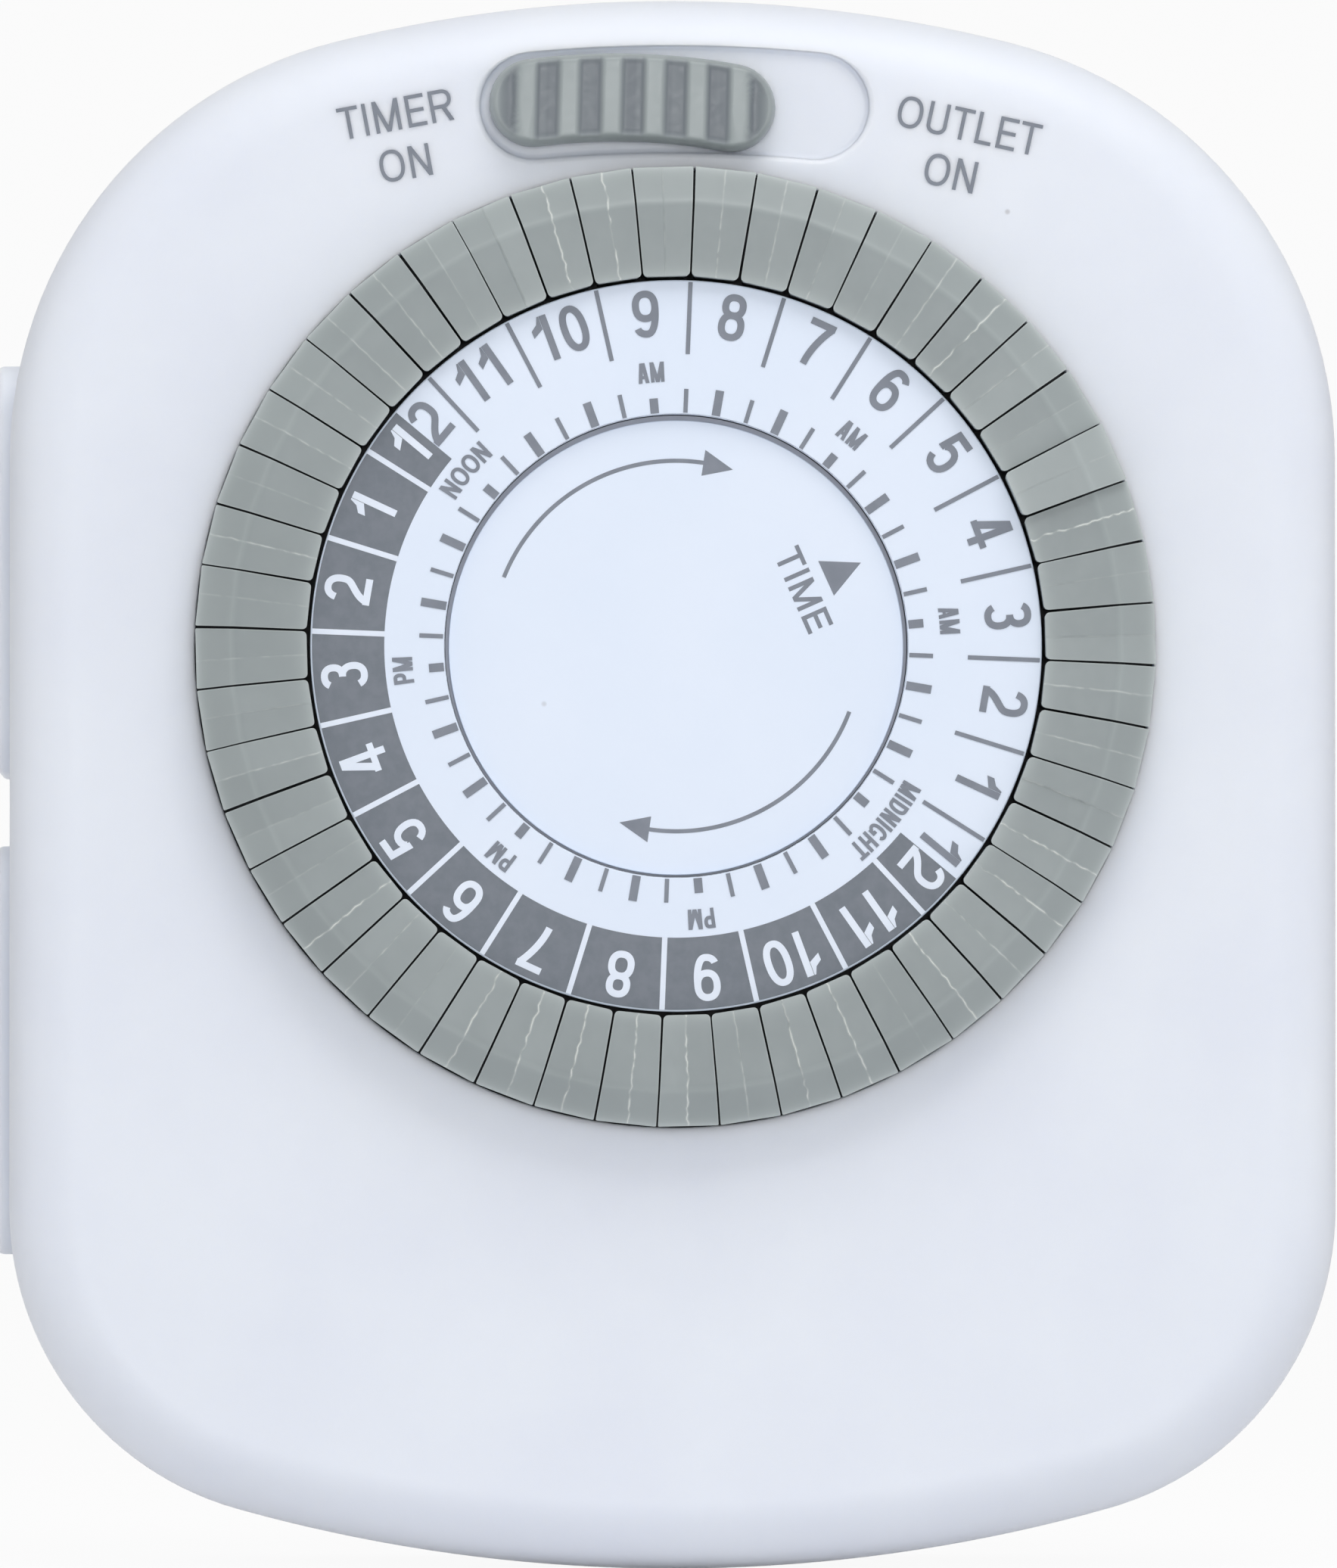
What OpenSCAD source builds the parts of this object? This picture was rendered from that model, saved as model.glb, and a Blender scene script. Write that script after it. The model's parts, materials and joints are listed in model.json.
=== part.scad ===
// Plug-in mechanical 24-hour outlet timer.
// Every module is drawn with x to the right, y up and z out of the wall, from the wall plane z = 0,
// and upright() then stands it up, so that the dial faces -Y and the wall lies towards +Y.
// The origin is midway between the plug blades, on the wall plane.

/* [Body] */
// Width of the body across its straight sides
body_w = 74; // [72:0.5:84]
// Height of the body from its crown to its sole
body_h = 87.5; // [86:0.5:100]
// Depth from the wall to the front face
body_d = 33.5; // [33:0.5:40]
// Depth of the rear cover, up to the parting line
rear_d = 24; // [23:0.5:26]
// Thickness of the side walls
wall = 2; // [1.6:0.1:2.4]
// Thickness of the front face and of the rear floor
skin = 2.2; // [1.8:0.1:2.6]
// Radius of the shallow arc over the top
crown_r = 78; // [70:1:120]
// Radius of the two upper corners
shoulder_r = 24; // [20:0.5:26]
// Radius of the shallow arc under the bottom
sole_r = 90; // [80:1:140]
// Radius of the two lower corners
foot_corner_r = 17.4; // [15:0.1:20]
// Rounding of the front edge
front_edge_r = 3.8; // [2:0.1:4.5]
// Rounding of the back edge
back_edge_r = 1.2; // [0.6:0.1:2]
// Height of the locating lip at the parting line
lip_h = 1.8; // [1:0.1:2.5]
// Thickness of the locating lip
lip_t = 0.9; // [0.7:0.1:1.2]

/* [Dial] */
// Number of tappets, one for each half hour
tappets = 48; // [48]
// Radius over the tappets
tappet_out_r = 26.6; // [26:0.1:28]
// Length of a tappet along the radius
tappet_l = 6.15; // [5.8:0.05:6.5]
// Gap between neighbouring tappets
tappet_gap = 0.14; // [0.1:0.02:0.3]
// Height of an unpressed tappet above the front face
tappet_proud = 4.2; // [3.8:0.1:5]
// Thickness of a tappet's cap
cap_t = 3.6; // [3:0.1:4]
// Width of the sloping band at a tappet's outer end
bevel_w = 2; // [1:0.1:3]
// Drop of that band
bevel_drop = 1.1; // [0.3:0.1:1.4]
// How far a tappet is pressed in
tappet_travel = 3; // [2:0.1:3.2]
// Width of a tappet's stem
stem_w = 1.9; // [1.5:0.1:2]
// Distance of the stem from the tappet's inner end
stem_from_inner = 1.25; // [1:0.05:1.5]
// Distance of the stem from the tappet's outer end
stem_from_outer = 2.1; // [1.8:0.05:2.4]
// Height of the barbed foot that stops a tappet from falling out
barb_h = 2.2; // [1.6:0.1:2.6]
// How far the barb reaches past the stem
barb_reach = 0.4; // [0.3:0.1:0.5]
// Angle of the first tappet's middle, clockwise from the top
first_angle = 6; // [0:0.5:7.5]
// How far the tappet at the time pointer stands above the others
tappet_lift = 0.5; // [0:0.1:0.6]
// Gap between the tappets and the edge of the dial opening
dial_gap = 0.15; // [0.12:0.01:0.4]
// Gap between the raised scale ring and the tappets' inner ends
scale_gap = 0.3; // [0.2:0.05:0.4]
// Depth of the scale ring's face below the tappets' tops
scale_sunk = 0.8; // [0.4:0.1:1.5]
// Thickness of the slotted flange
flange_t = 3; // [2:0.1:3.5]
// Radius of the fixed centre disc
disc_r = 12.65; // [11:0.05:14]
// Depth of the centre disc's face below the scale ring
disc_sunk = 0.5; // [0.3:0.1:1]
// Thickness of the centre disc
disc_t = 1.4; // [1:0.1:1.8]
// Radius of the post that the dial turns on
post_r = 4; // [3.5:0.1:4.5]
// Radius of the disc's stem inside the post
disc_stem_r = 2.5; // [2:0.1:2.8]

/* [Gears] */
// Teeth on the dial
dial_teeth = 60; // [54:1:62]
// Teeth on the drive gear
pinion_teeth = 12; // [10:1:14]
// Gear module, the pitch diameter for each tooth
gear_module = 0.6; // [0.56:0.01:0.62]
// Width of the dial's gear ring
gear_t = 3.6; // [3:0.1:4]
// Radius of the drive gear's shaft
shaft_r = 1; // [0.8:0.05:1.2]

/* [Override slide] */
// Width of the recess, across the slide's way
slide_h = 6.1; // [5.8:0.1:6.4]
// Length of the recess
slide_l = 21.9; // [21.5:0.1:23]
// Radius that the recess is bent to, nearly parallel to the crown
recess_bend_r = 84; // [70:1:120]
// Depth of the recess, cut into the front skin
slide_depth = 0.8; // [0.5:0.1:1.2]
// Wall between the recess and the dial opening
slide_wall = 0.85; // [0.5:0.05:1]
// Margin between the recess and the crown of the body
slide_margin = 2.55; // [2.2:0.05:4]
// Length of the knob
knob_l = 15.9; // [15:0.1:16.2]
// Width of the knob, across its way
knob_h = 4.7; // [4.2:0.05:4.8]
// Radius that the knob is bent to
knob_bend_r = 36; // [32:1:60]
// Height of the knob above the front face
knob_proud = 1.6; // [1:0.1:2.5]
// Number of finger ribs on the knob
knob_ribs = 6; // [4:1:8]
// Pitch of the finger ribs
rib_pitch = 2.37; // [1.8:0.01:2.4]
// Width of a finger rib
rib_w = 1.1; // [0.6:0.1:1.2]
// Height of the finger ribs
rib_h = 0.7; // [0.4:0.1:0.9]
// How far the slide travels, half to each side
slide_travel = 4.9; // [4:0.1:5]

/* [Plug and outlets] */
// Distance between the blades, and between an outlet's slots
blade_pitch = 12.7; // [12.7]
// Thickness of a blade
blade_t = 1.5; // [1.4:0.05:1.6]
// Width of the line blade
line_blade_w = 6.35; // [6:0.05:6.6]
// Width of the neutral blade
neutral_blade_w = 7.95; // [7.5:0.05:8.2]
// Length of the blades outside the wall plane
blade_l = 17; // [15.9:0.1:18.3]
// Radius of the hole near a blade's tip
blade_hole_r = 1.55; // [1.2:0.05:1.8]
// Distance of the blades above the dial's centre
plug_above_dial = 10; // [9:0.5:14]
// Height of the upper outlet's middle above the dial's centre
outlet_above_dial = 4.8; // [2:0.1:6]
// Distance between the two outlets
outlet_pitch = 27.1; // [26:0.1:30]
// Depth of the outlets' middle from the wall
outlet_z = 11.5; // [11:0.1:12]
// Height of an outlet's raised face
land_h = 23; // [20:0.5:25]
// Depth of an outlet's raised face, along the body's depth
land_d = 19.5; // [17:0.5:20]
// How far the raised face stands out of the side
land_proud = 0.9; // [0.6:0.1:1.6]
// Corner radius of the raised face
land_corner_r = 2.5; // [1:0.1:4]
// Thickness of the brass strips
strip_t = 0.8; // [0.6:0.05:1]
// Width of the brass bus behind the outlets
bus_w = 8; // [6:0.5:9]
// Height of an outlet's clip
clip_h = 9.2; // [8.4:0.1:10]
// Reach of a clip behind the bus
clip_reach = 4; // [2:0.5:5]

/* [Switch] */
// Width of the follower lever
lever_w = 2.6; // [2:0.1:3]
// Thickness of the lever's arm
lever_t = 2.4; // [1.8:0.1:2.6]
// Distance of the lever's pivot below the dial's centre
pivot_below_dial = 10; // [8:0.5:12]
// Radius of the lever's trunnions
trunnion_r = 1; // [0.8:0.05:1.2]
// Distance of the lever's tail below the slide's middle
tail_below_slide = 3.65; // [3.2:0.05:4]
// Length of the follower's nose along the lever
nose_l = 2; // [1.4:0.1:2.2]
// Width of the contact leaf
leaf_w = 4; // [3:0.1:5]
// Radius of a contact rivet
rivet_r = 1.4; // [1:0.1:1.6]
// Height of a contact rivet
rivet_h = 0.6; // [0.4:0.1:0.8]
// Gap between the open contacts
contact_gap = 0.8; // [0.5:0.1:1.2]

/* [Motor] */
// Radius of the motor's can
motor_r = 16.8; // [15:0.1:18]
// Height of the motor's can
can_h = 12.2; // [10:0.1:12.4]
// Height of the gearbox lid on the can
lid_h = 1.5; // [1:0.1:2]
// Radius of the motor's fixing pegs
peg_r = 1.5; // [1:0.1:1.8]
// Thickness of the motor's fixing ears
ear_t = 1.2; // [0.8:0.1:1.6]

/* [Screws] */
// Radius of a screw's head
head_r = 2.5; // [2.2:0.1:2.8]
// Height of a screw's head
head_h = 1.8; // [1.4:0.1:2.2]
// Radius of a screw's shank
shank_r = 1.3; // [1.1:0.05:1.5]
// Length of a screw's shank
shank_l = 10; // [8:0.5:12]
// Depth of a screw's seat from the wall
screw_seat = 10; // [8:0.5:11]

/* [Clearances] */
// Gap round pieces that slide in a slot
slide_fit = 0.12; // [0.1:0.01:0.2]
// Radial gap of a turning fit
running_fit = 0.06; // [0.03:0.01:0.09]
// Gap between pieces that are set in place
seat_fit = 0.05; // [0.03:0.01:0.1]
// Gap between moving pieces that never touch
free_gap = 0.3; // [0.2:0.05:0.4]

/* [Hidden] */
$fn = 96;
// How far joined shapes run into each other, and how far a cut runs past the face that it opens
overlap = 0.2;
past = 1;

// Heights along the dial's axis, from the tappets' tops down to the lever
gear_below_feet = 0.5;
hub_below_gear = 0.5;
collar_h = 1.5;
bearing_wall = 1.2;
end_play = 0.15;
tappet_top_z = body_d + tappet_proud;
cap_bottom_z = tappet_top_z - cap_t;
flange_top_z = cap_bottom_z - tappet_travel - slide_fit;
flange_bottom_z = flange_top_z - flange_t;
barb_top_z = flange_bottom_z - slide_fit - tappet_lift;
barb_bottom_z = barb_top_z - barb_h;
pressed_z = barb_bottom_z - tappet_travel;
gear_top_z = pressed_z - gear_below_feet;
gear_bottom_z = gear_top_z - gear_t;
scale_z = tappet_top_z - scale_sunk;
disc_top_z = scale_z - disc_sunk;
disc_bottom_z = disc_top_z - disc_t;
hub_bottom_z = gear_bottom_z - hub_below_gear;
post_top_z = disc_bottom_z - collar_h;
hub_top_z = post_top_z - end_play;
pivot_z = gear_bottom_z - free_gap - bearing_wall - trunnion_r;
lever_top_z = pivot_z + lever_t / 2;
nose_top_z = barb_bottom_z - free_gap;

// Radii round the dial's axis, and the tooth's depth and the rim under it in gear modules
flange_inset = 0.6;
disc_gap = 0.2;
hub_wall = 2.5;
post_step = 1.5;
dedendum = 1.25;
rim = 0.45;
skirt_t = 2.4;
tappet_in_r = tappet_out_r - tappet_l;
stem_in_r = tappet_in_r + stem_from_inner;
stem_out_r = tappet_out_r - stem_from_outer;
scale_out_r = tappet_in_r - scale_gap;
opening_r = tappet_out_r + dial_gap;
flange_r = tappet_out_r - flange_inset;
disc_hole_r = disc_r + disc_gap;
hub_r = post_r + hub_wall;
post_base_r = post_r + post_step;
half_pitch = 180 / tappets;
stem_mid_r = (stem_in_r + stem_out_r) / 2;
dial_pitch_r = dial_teeth * gear_module / 2;
pinion_pitch_r = pinion_teeth * gear_module / 2;
skirt_out_r = dial_pitch_r - (dedendum + rim) * gear_module;
skirt_in_r = skirt_out_r - skirt_t;

// Places in the front plane
dial_y = -plug_above_dial;
slide_y = dial_y + opening_r + slide_wall + slide_h / 2;
top_y = slide_y + slide_h / 2 + slide_margin;
bottom_y = top_y - body_h;
side_x = body_w / 2;
pinion_y = dial_y - dial_pitch_r - pinion_pitch_r;
motor_x = 4;
motor_y = (dial_y - post_base_r + bottom_y + wall) / 2;
peg_out = 3.8;
peg_x = motor_r + peg_out;
peg_foot_h = 2.4;
peg_foot_wall = 1;
peg_foot_r = peg_r + peg_foot_wall;
peg_foot_z = skin + peg_foot_h;
motor_base_z = skin + seat_fit;
lid_z = motor_base_z + can_h;
outlet_ys = [dial_y + outlet_above_dial, dial_y + outlet_above_dial - outlet_pitch];

// The corner circles touch the side and the crown or sole arc inside
shoulder_x = side_x - shoulder_r;
shoulder_y = top_y - crown_r + sqrt(pow(crown_r - shoulder_r, 2) - pow(shoulder_x, 2));
crown_half = asin(shoulder_x / (crown_r - shoulder_r));
foot_x = side_x - foot_corner_r;
foot_y = bottom_y + sole_r - sqrt(pow(sole_r - foot_corner_r, 2) - pow(foot_x, 2));
sole_half = asin(foot_x / (sole_r - foot_corner_r));

// The follower stands under the tappet at the time pointer
time_tappet = 8;
time_angle = first_angle + 2 * half_pitch * time_tappet;
lever_x = stem_mid_r * sin(time_angle);
nose_y = dial_y + stem_mid_r * cos(time_angle);
pivot_y = dial_y - pivot_below_dial;
lever_swing = asin(tappet_travel / (nose_y - pivot_y));
tail_y = slide_y - tail_below_slide;
tail_l = 3;
bearing_t = 2.6;
trunnion_l = lever_w + 2 * free_gap + 2 * bearing_t;

// The contact leaf lies just under the lowest reach of the lever
leaf_past_nose = 1;
leaf_y = nose_y + leaf_past_nose;
leaf_far = leaf_y + leaf_w / 2 - pivot_y;
leaf_top_z = pivot_z - leaf_far * sin(lever_swing) - lever_t / 2 - free_gap;
leaf_bottom_z = leaf_top_z - strip_t;
fixed_contact_z = leaf_bottom_z - rivet_h - contact_gap;

// Brass strips behind the outlets
grip = 0.05;
neutral_z = outlet_z - blade_pitch / 2;
load_z = outlet_z + blade_pitch / 2;
shelf_w = 1.8;
bus_gap = 0.2;
bus_x = -(side_x - wall - shelf_w - bus_gap);
bus_end_x = bus_x + bus_w;
clip_end_x = bus_end_x + clip_reach;
plug_strip_z = neutral_z - blade_t / 2 - grip - strip_t;

// Screw towers: gap and wall round the head, and the distance kept from the side wall
head_gap = 0.3;
tower_wall = 1.3;
pillar_wall = 1.7;
tower_off = 0.8;
seat_t = 2;
shoulder_screw_angle = 25;
foot_screw_angle = -45;
tower_r = head_r + head_gap + tower_wall;
pillar_r = shank_r + pillar_wall;
tower_inset = wall + tower_r + tower_off;
shoulder_screw = (shoulder_r - tower_inset) * [cos(shoulder_screw_angle), sin(shoulder_screw_angle)];
foot_screw = (foot_corner_r - tower_inset) * [cos(foot_screw_angle), sin(foot_screw_angle)];
pillar_z = screw_seat + seat_t;
screw_places = [
    for (side = [-1, 1])
        each [
            [side * (shoulder_x + shoulder_screw.x), shoulder_y + shoulder_screw.y],
            [side * (foot_x + foot_screw.x), foot_y + foot_screw.y]
        ]
];

// Floor of the recess, and the neck and foot of the override slide
neck_h = 2.6;
neck_l = 2.4;
slide_foot_t = 1.5;
floor_top_z = body_d - slide_depth;
floor_bottom_z = body_d - skin;
slide_foot_z = floor_bottom_z - slide_fit - slide_foot_t;

function tappet_name(k) = str(k < 9 ? "tappet_0" : "tappet_", k + 1);

// Points on an arc about a centre, both ends included, or only those between the ends
function arc(c, r, from, to, n, first = 0, last = 0) =
    [for (i = [first:n - last]) c + r * [cos(from + (to - from) * i / n), sin(from + (to - from) * i / n)]];

// Outline of the body, drawn in by d: four corner arcs with the crown and sole arcs between them
function outline(d) = concat(
    arc([shoulder_x, shoulder_y], shoulder_r - d, 0, 90 - crown_half, 12),
    arc([0, top_y - crown_r], crown_r - d, 90 - crown_half, 90 + crown_half, 8, 1, 1),
    arc([-shoulder_x, shoulder_y], shoulder_r - d, 90 + crown_half, 180, 12),
    arc([-foot_x, foot_y], foot_corner_r - d, 180, 270 - sole_half, 12),
    arc([0, bottom_y + sole_r], sole_r - d, 270 - sole_half, 270 + sole_half, 8, 1, 1),
    arc([foot_x, foot_y], foot_corner_r - d, 270 + sole_half, 360, 12)
);

// A slot of length l and width h with round ends, bent down to both sides to the radius r
function bent_slot(r, l, h) =
    let (c = [0, -r], a = asin((l - h) / 2 / r))
    concat(
        arc(c, r - h / 2, 90 + a, 90 - a, 12),
        arc(c + r * [sin(a), cos(a)], h / 2, 270 - a, 450 - a, 12, 1, 1),
        arc(c, r + h / 2, 90 - a, 90 + a, 12),
        arc(c + r * [-sin(a), cos(a)], h / 2, 90 + a, 270 + a, 12, 1, 1)
    );

// A straight slot of width h with round ends centred at the points a and b
function straight_slot(a, b, h) =
    let (way = atan2(b.y - a.y, b.x - a.x))
    concat(arc(b, h / 2, way - 90, way + 90, 12), arc(a, h / 2, way + 90, way + 270, 12));

// A rectangle about the middle with round corners
function round_rect(w, h, r) = concat(
    arc([w / 2 - r, h / 2 - r], r, 0, 90, 6),
    arc([r - w / 2, h / 2 - r], r, 90, 180, 6),
    arc([r - w / 2, r - h / 2], r, 180, 270, 6),
    arc([w / 2 - r, r - h / 2], r, 270, 360, 6)
);

// Gear teeth with straight flanks, thinned at the pitch circle for backlash
function gear_outline(teeth) =
    let (pitch_r = teeth * gear_module / 2, half = 90 / teeth)
    [
        for (i = [0:teeth - 1])
            for (p = [[-dedendum, -1.25], [0, -0.8], [1, -0.4], [1, 0.4], [0, 0.8], [-dedendum, 1.25]])
                let (r = pitch_r + p[0] * gear_module, a = 360 * i / teeth + p[1] * half)
                r * [cos(a), sin(a)]
    ];

module upright() {
    rotate([90, 0, 0]) children();
}

// A box from one corner to the opposite one
module block(low, high) {
    translate(low) cube(high - low);
}

// A straight round bar along z
module bar(place, r, z0, z1) {
    translate([place.x, place.y, z0]) cylinder(r = r, h = z1 - z0);
}

module plate(points, z0, z1) {
    translate([0, 0, z0]) linear_extrude(z1 - z0) polygon(points);
}

// Outer skin of a cover through outlines at rising heights, each given as height and inset
module skin_through(levels) {
    rings = [for (level = levels) [for (p = outline(level[1])) [p.x, p.y, level[0]]]];
    n = len(rings[0]);
    last = (len(levels) - 1) * n;
    sides = [
        for (i = [0:len(levels) - 2])
            for (j = [0:n - 1])
                let (k = (j + 1) % n)
                [i * n + j, (i + 1) * n + j, (i + 1) * n + k, i * n + k]
    ];
    polyhedron(
        [for (ring = rings) each ring],
        concat([[for (j = [0:n - 1]) j]], sides, [[for (j = [0:n - 1]) last + n - 1 - j]])
    );
}

module front_cover() {
    edge = [
        for (t = [0:15:90])
            [body_d - front_edge_r * (1 - sin(t)), front_edge_r * (1 - cos(t))]
    ];
    color("whitesmoke") upright() difference() {
        union() {
            difference() {
                skin_through(concat([[rear_d, 0]], edge));
                plate(outline(wall), rear_d - past, body_d - skin);
            }
            for (p = screw_places) bar(p, pillar_r, pillar_z, body_d - skin + overlap);
        }
        bar([0, dial_y], opening_r, rear_d, body_d + past);
        translate([0, slide_y, 0]) {
            plate(bent_slot(recess_bend_r, slide_l, slide_h), floor_top_z, body_d + past);
            neck_way = (neck_l + slide_travel) / 2 + slide_fit;
            plate(straight_slot([-neck_way, 0], [neck_way, 0], neck_h + 2 * slide_fit), rear_d, body_d);
        }
        for (p = screw_places) bar(p, shank_r + seat_fit, pillar_z - past, screw_seat + shank_l + past);
    }
}

// One outlet's raised face, on the left side
module outlet_land(y) {
    chamfer = 0.5;
    root = wall - chamfer;
    translate([root - side_x, y, outlet_z]) rotate([0, -90, 0]) hull() {
        linear_extrude(root + land_proud - chamfer) polygon(round_rect(land_d, land_h, land_corner_r));
        linear_extrude(root + land_proud)
            polygon(round_rect(land_d - 2 * chamfer, land_h - 2 * chamfer, land_corner_r - chamfer));
    }
}

// The ways of one outlet's two blades through its face and the side wall
module outlet_slots(y) {
    slot_play = 0.5;
    slot_t = blade_t + slot_play;
    for (slot = [[neutral_z, neutral_blade_w + slot_play], [load_z, line_blade_w + slot_play]])
        block(
            [-side_x - land_proud - past, y - slot[1] / 2, slot[0] - slot_t / 2],
            [-side_x + wall + past, y + slot[1] / 2, slot[0] + slot_t / 2]
        );
}

// Bearing posts on both sides of the lever
module lever_bearings() {
    for (side = [-1, 1])
        translate([lever_x + side * (lever_w / 2 + free_gap + bearing_t / 2), pivot_y, 0])
            block(
                [-bearing_t / 2, -trunnion_r - bearing_wall, skin - overlap],
                [bearing_t / 2, trunnion_r + bearing_wall, pivot_z + trunnion_r + bearing_wall]
            );
}

// Pads on the floor under the brass strips, and shelves on the side wall under the load strip
module strip_rests() {
    rest_y = (outlet_ys[0] + outlet_ys[1]) / 2;
    rest_inset = 1;
    rest_half = 4;
    line_rest_half = 1.5;
    shelf_t = 1.6;
    shelf_h = 7.4;
    shelf_pitch = 7;
    shelf_z = load_z - blade_t / 2 - grip - strip_t - seat_fit;
    block(
        [bus_x + rest_inset, rest_y - rest_half, skin - overlap],
        [bus_end_x - rest_inset, rest_y + rest_half, plug_strip_z - seat_fit]
    );
    block(
        [lever_x / 2, -line_rest_half, skin - overlap],
        [lever_x - 2 * line_rest_half, line_rest_half, plug_strip_z - seat_fit]
    );
    for (i = [-1:1])
        translate([0, rest_y + i * shelf_pitch, 0])
            block(
                [-side_x + wall - overlap, -shelf_t / 2, shelf_z - shelf_h],
                [bus_x + line_rest_half, shelf_t / 2, shelf_z]
            );
}

// Seat ring and two pegs for the motor
module motor_seat() {
    ring_h = 2;
    ring_t = 1.3;
    peg_above_ear = 1;
    seat_r = motor_r + bus_gap;
    translate([motor_x, motor_y, 0]) {
        difference() {
            bar([0, 0], seat_r + ring_t, skin - overlap, skin + ring_h);
            bar([0, 0], seat_r, skin - past, skin + ring_h + past);
        }
        for (side = [-1, 1]) {
            bar([side * peg_x, 0], peg_foot_r, skin - overlap, peg_foot_z);
            bar([side * peg_x, 0], peg_r, skin, peg_foot_z + ear_t + peg_above_ear);
        }
    }
}

module rear_cover() {
    edge = [for (t = [90:-30:0]) [back_edge_r * (1 - sin(t)), back_edge_r * (1 - cos(t))]];
    lip_root = 2;
    color("whitesmoke") upright() difference() {
        union() {
            difference() {
                skin_through(concat(edge, [[rear_d, 0]]));
                plate(outline(wall), skin, rear_d + past);
            }
            difference() {
                union() {
                    plate(outline(wall - overlap), rear_d - lip_root, rear_d);
                    plate(outline(wall + slide_fit), rear_d - past, rear_d + lip_h);
                }
                plate(outline(wall + slide_fit + lip_t), rear_d - lip_root - past, rear_d + lip_h + past);
            }
            for (y = outlet_ys) outlet_land(y);
            for (p = screw_places) bar(p, tower_r, skin - overlap, pillar_z - seat_fit);
            bar([0, dial_y], post_base_r, skin - overlap, hub_bottom_z - end_play);
            bar([0, dial_y], post_r, skin - overlap, post_top_z);
            lever_bearings();
            strip_rests();
            motor_seat();
        }
        bar([0, dial_y], disc_stem_r + seat_fit, hub_bottom_z + past, post_top_z + past);
        for (p = screw_places) {
            bar(p, head_r + head_gap, -past, screw_seat);
            bar(p, shank_r + seat_fit, screw_seat - past, pillar_z + past);
        }
        for (y = outlet_ys) outlet_slots(y);
        for (blade = [[-1, neutral_blade_w], [1, line_blade_w]])
            translate([blade[0] * blade_pitch / 2, 0, 0])
                block(
                    [-blade_t / 2 - slide_fit, -blade[1] / 2 - slide_fit, -past],
                    [blade_t / 2 + slide_fit, blade[1] / 2 + slide_fit, skin + past]
                );
        translate([lever_x, pivot_y, pivot_z]) rotate([0, 90, 0])
            cylinder(r = trunnion_r + running_fit, h = trunnion_l + 2 * past, center = true);
    }
}

module dial_wheel() {
    color("dimgray") upright() translate([0, dial_y, 0]) difference() {
        union() {
            rotate_extrude() polygon([
                [post_r + running_fit, hub_bottom_z],
                [hub_r, hub_bottom_z],
                [hub_r, flange_bottom_z],
                [skirt_in_r, flange_bottom_z],
                [skirt_in_r, gear_bottom_z],
                [skirt_out_r, gear_bottom_z],
                [skirt_out_r, flange_bottom_z],
                [flange_r, flange_bottom_z],
                [flange_r, flange_top_z],
                [scale_out_r, flange_top_z],
                [scale_out_r, scale_z],
                [disc_hole_r, scale_z],
                [disc_hole_r, flange_top_z],
                [hub_r, flange_top_z],
                [hub_r, hub_top_z],
                [post_r + running_fit, hub_top_z]
            ]);
            rotate(-90) difference() {
                plate(gear_outline(dial_teeth), gear_bottom_z, gear_top_z);
                bar([0, 0], skirt_out_r - overlap, gear_bottom_z - past, gear_top_z + past);
            }
        }
        for (k = [0:tappets - 1])
            rotate(-first_angle - 2 * half_pitch * k)
                block(
                    [-stem_w / 2 - slide_fit, stem_in_r - slide_fit, flange_bottom_z - past],
                    [stem_w / 2 + slide_fit, stem_out_r + slide_fit, flange_top_z + past]
                );
    }
}

module centre_disc() {
    color("white") upright() translate([0, dial_y, 0]) {
        bar([0, 0], disc_r, disc_bottom_z, disc_top_z);
        bar([0, 0], hub_r, post_top_z, disc_bottom_z + overlap);
        bar([0, 0], disc_stem_r, hub_bottom_z + 2 * past, disc_bottom_z);
    }
}

// A tappet: a wedge-shaped cap with a sloping outer band, a stem and a barbed foot
module tappet(k) {
    half_in = tappet_in_r * tan(half_pitch) - tappet_gap / 2;
    half_out = tappet_out_r * tan(half_pitch) - tappet_gap / 2;
    lift = k == time_tappet ? tappet_lift : 0;
    color("darkgray") upright() translate([0, dial_y, lift]) rotate(-first_angle - 2 * half_pitch * k) {
        intersection() {
            plate(
                [
                    [-half_in, tappet_in_r], [half_in, tappet_in_r],
                    [half_out, tappet_out_r], [-half_out, tappet_out_r]
                ],
                cap_bottom_z - past, tappet_top_z + past
            );
            rotate([90, 0, 90]) linear_extrude(2 * half_out + past, center = true) polygon([
                [tappet_in_r - past, cap_bottom_z],
                [tappet_out_r + past, cap_bottom_z],
                [tappet_out_r + past, tappet_top_z - bevel_drop * (1 + past / bevel_w)],
                [tappet_out_r - bevel_w, tappet_top_z],
                [tappet_in_r - past, tappet_top_z]
            ]);
        }
        block([-stem_w / 2, stem_in_r, barb_bottom_z], [stem_w / 2, stem_out_r, cap_bottom_z + overlap]);
        block(
            [-stem_w / 2, stem_in_r - barb_reach, barb_bottom_z],
            [stem_w / 2, stem_out_r + barb_reach, barb_top_z]
        );
    }
}

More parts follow.
